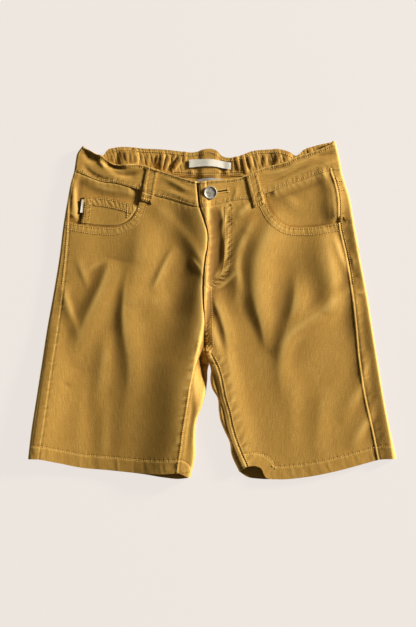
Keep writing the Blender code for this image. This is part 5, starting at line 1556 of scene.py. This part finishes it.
def sew_ground_side():
    """The back's own topstitching."""
    rows = []
    for side in SIDES:
        sewn = pocket_cuts(side)[0]
        for at in (2.0, SECOND_ROW):
            row = offset(sewn, INWARD[side] * at)[6:-6]
            rows.append(row[row[:, 0] < smooth(SIDES["left"], "fold", row[:, 1]) - 3])
        yoke = line((centre(side), YOKE_CENTRE_Y), side_point(side, "fold", YOKE_SIDE_Y))[3:-8]
        rows += [yoke + (0, up) for up in (BESIDE_SEAM, SECOND_ROW)]
        ends = sorted((SIDES[side]["fold"][-1], INNER_FOLDS[side]["x"][-1]))
        rows.append(across(HEMS[side], "back", *ends)[5:-5] + (0, HEM_DEPTH))
    seat = line((CENTRE_X, BACK_SEAM_Y), (CENTRE_X, TIP_Y + 6))
    rows += [seat + (at, 0) for at in (BESIDE_SEAM, SECOND_ROW)]
    waist = line(*np.stack([(x, float(waist_back_y(x))) for x in steps(-150, 143, 4)]))
    rows += [waist + (0, up) for up in (2.0, -2.0)]
    for x in BACK_LOOP_X:
        low, high = BACK_LOOP_Y
        rows += [line((x + at, low + 1.5), (x + at, high - 1.5)) for at in (-LOOP_ROW, LOOP_ROW)]
        rows += [line((x - 4.6, y), (x + 4.6, y)) for y in (low + 1.8, low + 3.4, high - 1.8)]
    stitches("stitches_back", rows, lambda x, y: lower(x, y) + 0.3, faces_up=False)


# ---------------------------------------------------------------- materials

def linear(colour):
    """An sRGB hex colour as linear RGBA."""
    parts = [int(colour[i:i + 2], 16) / 255 for i in (1, 3, 5)]
    return (*((c / 12.92 if c <= 0.04045 else ((c + 0.055) / 1.055) ** 2.4) for c in parts), 1.0)


def plug(tree, node, inputs):
    """Set a node's inputs, by name or number, from sockets or values."""
    for name, value in inputs.items():
        if isinstance(value, bpy.types.NodeSocket):
            tree.links.new(value, node.inputs[name])
        else:
            node.inputs[name].default_value = value


def add(tree, kind, inputs=None, **settings):
    """A node with its settings and inputs."""
    node = tree.nodes.new("ShaderNode" + kind)
    for name, value in settings.items():
        setattr(node, name, value)
    plug(tree, node, inputs or {})
    return node


def new_material(name):
    material = bpy.data.materials.new(name)
    material.use_nodes = True
    return material, material.node_tree, material.node_tree.nodes["Principled BSDF"]


def mixed(tree, factor, a, b):
    """A colour between a and b."""
    return add(tree, "Mix", {0: factor, 6: a, 7: b}, data_type="RGBA").outputs[2]


def ramp(tree, value, start, end):
    """A value mapped straight between two stops, each a place and a level."""
    node = add(tree, "ValToRGB", {"Fac": value})
    for element, (place, level) in zip(node.color_ramp.elements, (start, end)):
        element.position, element.color = place, (level, level, level, 1)
    return node.outputs["Color"]


TWILL_PITCH = 0.9      # between the slanting wales of the twill
TWILL_SLANT = 62
THREAD_RELIEF = 0.12   # height of the cloth's own texture
OTHER_RELIEF = 0.2     # and of the tapes' and the button's
SLUB = (0.9, 14.0)     # a slub's width and length
FINE_SLUB = (0.7, 2.0)


def streaks(tree, plan, size, seed):
    """Noise drawn out along the warp: one unit of noise is a slub's width by its length."""
    scale = (1 / (size[0] * MM), 1 / (size[1] * MM), 1)
    placed = add(tree, "Mapping", {"Vector": plan, "Scale": scale, "Location": (seed, seed * 2.3, 0)})
    return add(tree, "TexNoise", {
        "Vector": placed.outputs[0], "Scale": 1.0, "Detail": 2.0, "Roughness": 0.55}).outputs["Fac"]


def make_denim():
    """Garment-dyed stretch twill, washed soft: matt, slubby along the warp, with painted shade in
    hollows and creases, and ridges pale from wear and a painted highlight.
    """
    material, tree, shader = new_material("washed_mustard_twill")
    plan = add(tree, "UVMap", uv_map="grain").outputs["UV"]
    slub = streaks(tree, plan, SLUB, 3.1)
    fine = streaks(tree, plan, FINE_SLUB, 9.7)
    mottle = streaks(tree, plan, (34.0, 60.0), 5.3)
    # these two attributes carry painted light: shade in hollows and creases, and a highlight mixed
    # with wear on the ridges
    wear_and_painted_light = add(tree, "Attribute", attribute_name="wear_and_painted_light").outputs["Fac"]
    hollow_shade = add(tree, "Attribute", attribute_name="hollow_shade").outputs["Fac"]
    ground = linear("#b0883c")
    for thread, start, end, colour in (
        (slub, (0.38, 0.0), (0.62, 1.0), "#c79d4f"),
        (fine, (0.38, 0.55), (0.6, 0.0), "#a0752e"),
        (mottle, (0.35, 0.25), (0.65, 0.0), "#ad8030"),
    ):
        ground = mixed(tree, ramp(tree, thread, start, end), ground, linear(colour))
    for place, none, most, share, colour in (
        (hollow_shade, 0.1, 1.5, 0.65, "#80581a"),      # painted shade: darker and browner in the broad hollows
        (wear_and_painted_light, -0.03, -0.22, 0.35, "#e8c474"),  # pale on the ridges: partly rubbed wear, partly painted highlight
        (wear_and_painted_light, 0.05, 0.3, 0.6, "#6b4a14"),      # painted shade in creases and in the grooves along seams
    ):
        factor = add(tree, "MapRange", {"Value": place, 1: none, 2: most, 3: 0.0, 4: share})
        ground = mixed(tree, factor.outputs[0], ground, linear(colour))
    slanted = add(tree, "Mapping", {"Vector": plan, "Rotation": (0, 0, math.radians(TWILL_SLANT))})
    wale = add(tree, "TexWave", {
        "Vector": slanted.outputs[0], "Scale": 1 / (TWILL_PITCH * MM * math.pi),
        "Distortion": 0.6, "Detail": 1.0, "Detail Scale": 2.0})
    bumps = {"Distance": THREAD_RELIEF * MM}
    for height, strength in ((wale.outputs["Fac"], 0.2), (fine, 0.8), (slub, 0.3)):
        bumps.update({"Height": height, "Strength": strength})
        bumps["Normal"] = add(tree, "Bump", bumps).outputs[0]
    plug(tree, shader, {
        "Base Color": ground, "Roughness": 0.78, "Specular IOR Level": 0.3, "Sheen Weight": 0.12,
        "Sheen Roughness": 0.4, "Sheen Tint": linear("#f3dca0"), "Normal": bumps["Normal"]})
    return material


def make_woven(name, warp, weft, roughness, pitch, sheen):
    """Close-woven tape: fine cross threads, smooth and faintly shiny."""
    material, tree, shader = new_material(name)
    plan = add(tree, "UVMap", uv_map="grain").outputs["UV"]
    scale = 1 / (pitch * MM * math.pi)
    wave = add(tree, "TexWave", {"Vector": plan, "Scale": scale, "Distortion": 0.3},
               bands_direction="Y")
    blotch = streaks(tree, plan, (5.0, 2.0), 1.7)
    colour = mixed(tree, wave.outputs["Fac"], linear(warp), linear(weft))
    colour = mixed(tree, ramp(tree, blotch, (0.35, 0.3), (0.65, 0.0)), colour, linear(weft))
    raised = add(tree, "Bump", {
        "Height": wave.outputs["Fac"], "Strength": 0.4, "Distance": OTHER_RELIEF * MM})
    plug(tree, shader, {
        "Base Color": colour, "Roughness": roughness, "Sheen Weight": sheen,
        "Normal": raised.outputs[0]})
    return material


def make_thread():
    """Spun polyester topstitch thread, dyed with the garment: a little paler and shinier, with
    painted shade at each stitch's ends.
    """
    material, tree, shader = new_material("topstitch_thread")
    place = add(tree, "TexCoord").outputs["Object"]
    ply = add(tree, "TexNoise", {"Vector": place, "Scale": 900.0, "Detail": 1.0}).outputs["Fac"]
    crown = add(tree, "Attribute", attribute_name="crown").outputs["Fac"]
    twist = ramp(tree, ply, (0.35, 0.0), (0.65, 1.0))
    colour = mixed(tree, twist, linear("#c0923a"), linear("#e4c066"))
    # painted shade at each stitch's ends, where the thread dips into its needle hole
    sunk = ramp(tree, crown, (0.0, 1.0), (0.45, 0.0))
    colour = mixed(tree, sunk, colour, linear("#7a5416"))
    plug(tree, shader, {"Base Color": colour, "Roughness": 0.6, "Sheen Weight": 0.2})
    return material


def make_button_metal():
    """Zinc alloy with a dull nickel finish, stamped and tumbled: soft, slightly mottled gloss."""
    material, tree, shader = new_material("tumbled_nickel")
    place = add(tree, "TexCoord").outputs["Object"]
    cloud = add(tree, "TexNoise", {"Vector": place, "Scale": 420.0, "Detail": 3.0}).outputs["Fac"]
    clouded = ramp(tree, cloud, (0.35, 0.0), (0.65, 1.0))
    rough = ramp(tree, cloud, (0.3, 0.42), (0.7, 0.55))
    pitted = add(tree, "Bump", {"Height": cloud, "Strength": 0.3, "Distance": OTHER_RELIEF * MM})
    plug(tree, shader, {
        "Base Color": mixed(tree, clouded, linear("#a5a19a"), linear("#d6d2c8")),
        "Metallic": 0.6, "Roughness": rough, "Normal": pitted.outputs[0]})
    return material


MATERIALS = {
    "denim": make_denim(),
    "label": make_woven("satin_label_tape", "#f6f3ec", "#dcd8cf", 0.5, 0.8, 0.2),
    "label_grey": make_woven("grey_label_tape", "#a9a7a3", "#8c8a86", 0.55, 0.8, 0.15),
    "zip_tape": make_woven("zip_tape", "#a87c2e", "#8a6220", 0.8, 0.9, 0.1),
    "thread": make_thread(),
    "metal": make_button_metal(),
}


# ---------------------------------------------------------------- the button

BUTTON_RADIUS = 7.5
BUTTON_HEIGHT = 2.6
SHANK_RADIUS = 2.4
# The cap's rings from its rim to its middle: how wide each is, and how far its inner edge rises.
CAP_RINGS = ((1.1, 0.0), (0.5, -0.45), (0.9, -0.25), (3.2, 0.3))
CAP_ROUNDING = 0.35


def deselect():
    bpy.ops.object.select_all(action="DESELECT")


def make_button():
    """A dished cap on a shank: a disc inset, sunk in its middle, rolled at its rim."""
    low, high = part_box("button")
    middle = (low + high) / 2
    top = high.z - 0.0001
    deselect()
    bpy.ops.mesh.primitive_cylinder_add(
        vertices=64, radius=BUTTON_RADIUS * MM, depth=BUTTON_HEIGHT * MM,
        location=(middle.x, middle.y, top - BUTTON_HEIGHT * MM / 2))
    cap = bpy.context.object
    cap.name = "button_cap"
    bpy.ops.object.mode_set(mode="EDIT")
    bpy.ops.mesh.select_mode(type="FACE")
    for thickness, depth in CAP_RINGS:
        bpy.ops.object.mode_set(mode="OBJECT")
        for face in cap.data.polygons:
            face.select = len(face.vertices) > 8 and face.normal.z > 0.5
        bpy.ops.object.mode_set(mode="EDIT")
        bpy.ops.mesh.inset(thickness=thickness * MM, depth=depth * MM)
    bpy.ops.object.mode_set(mode="OBJECT")
    rounding = cap.modifiers.new("rounded rim", "BEVEL")
    rounding.width = CAP_ROUNDING * MM
    rounding.segments = 3
    rounding.limit_method = "ANGLE"
    rounding.angle_limit = math.radians(25)
    bpy.ops.object.modifier_apply(modifier=rounding.name)
    deselect()
    shank_low = low.z
    shank_high = top - BUTTON_HEIGHT * MM + 0.0002
    bpy.ops.mesh.primitive_cylinder_add(
        vertices=32, radius=SHANK_RADIUS * MM, depth=shank_high - shank_low,
        location=(middle.x, middle.y, (shank_low + shank_high) / 2))
    shank = bpy.context.object
    shank.name = "button_shank"
    for piece in (cap, shank):
        piece.data.transform(piece.matrix_world)
        piece.matrix_world.identity()
        piece.data.materials.clear()
        piece.data.materials.append(MATERIALS["metal"])
        piece.data.shade_smooth()
        piece.data.set_sharp_from_angle(angle=math.radians(40))
        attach(piece, "root")
    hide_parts("button")
    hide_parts("button")


# ---------------------------------------------------------------- light, floor and camera

# In metres: the camera's height, the middle of its view, and how much floor its frame takes in.
CAMERA_HEIGHT = 1.6
VIEW_CENTRE = (-0.0049, -0.0035)
VIEW_TALL = 0.721
SENSOR = 24.0
KEY_AZIMUTH, KEY_ELEVATION = 26, 14.5
KEY_AWAY, KEY_SIZE, KEY_POWER = 4.0, 0.6, 505    # metres, metres and watts


def make_stage():
    """A pale floor that keeps a soft shadow, a low key light from the right, and the camera."""
    deselect()
    bpy.ops.mesh.primitive_plane_add(size=6.0, location=(0, 0, -0.0004))
    floor = bpy.context.object
    floor.name = "floor"
    material, tree, shader = new_material("pale_floor")
    plug(tree, shader, {
        "Base Color": linear("#403e3c"), "Roughness": 0.9, "Specular IOR Level": 0.1,
        "Emission Color": linear("#ede6e0"), "Emission Strength": 0.955})
    floor.data.materials.append(material)

    light = bpy.data.lights.new("key", "AREA")
    light.shape, light.size, light.energy = "DISK", KEY_SIZE, KEY_POWER
    light.color = linear("#fff8ea")[:3]
    lamp = bpy.data.objects.new("key", light)
    turn, rise = math.radians(KEY_AZIMUTH), math.radians(KEY_ELEVATION)
    towards = math.cos(turn) * math.cos(rise), math.sin(turn) * math.cos(rise), math.sin(rise)
    lamp.location = Vector(towards) * KEY_AWAY
    lamp.rotation_euler = (-lamp.location).to_track_quat("-Z", "Y").to_euler()
    bpy.context.scene.collection.objects.link(lamp)
    world = bpy.data.worlds.new("studio")
    world.use_nodes = True
    background = {0: linear("#f2ecd6"), 1: 0.10}
    plug(world.node_tree, world.node_tree.nodes["Background"], background)
    bpy.context.scene.world = world
    bpy.context.scene.view_settings.view_transform = "Standard"

    camera = bpy.data.cameras.new("camera")
    camera.sensor_fit = "VERTICAL"
    camera.sensor_height = SENSOR
    camera.lens = SENSOR * CAMERA_HEIGHT / VIEW_TALL
    eye = bpy.data.objects.new("camera", camera)
    eye.location = (*VIEW_CENTRE, CAMERA_HEIGHT)
    bpy.context.scene.collection.objects.link(eye)
    bpy.context.scene.camera = eye


# ---------------------------------------------------------------- the cut of each piece


def main():
    for side in SIDES:
        make_back_panel(side)
        make_back_yoke(side)
        make_pocket_facing(side)
        make_front_panel(side)
        make_waistband_front(side)
        make_front_loop(side)
    make_waistband_back()
    make_coin_pocket()
    make_fly_zip()
    for number, x in enumerate(BACK_LOOP_X, 1):
        make_back_loop(number, x)
    make_label("main", MAIN_LABEL, BAND, "label")
    make_label("size", SIZE_LABEL, DENIM, "label_grey")
    for side, sign in INWARD.items():
        sew_panel(side, sign)
    sew_fly()
    sew_waistband()
    for side in SIDES:
        sew_front_loop(side)
    sew_inner_band()
    sew_buttonhole()
    sew_coin_pocket()
    sew_ground_side()
    make_button()
    make_stage()


main()
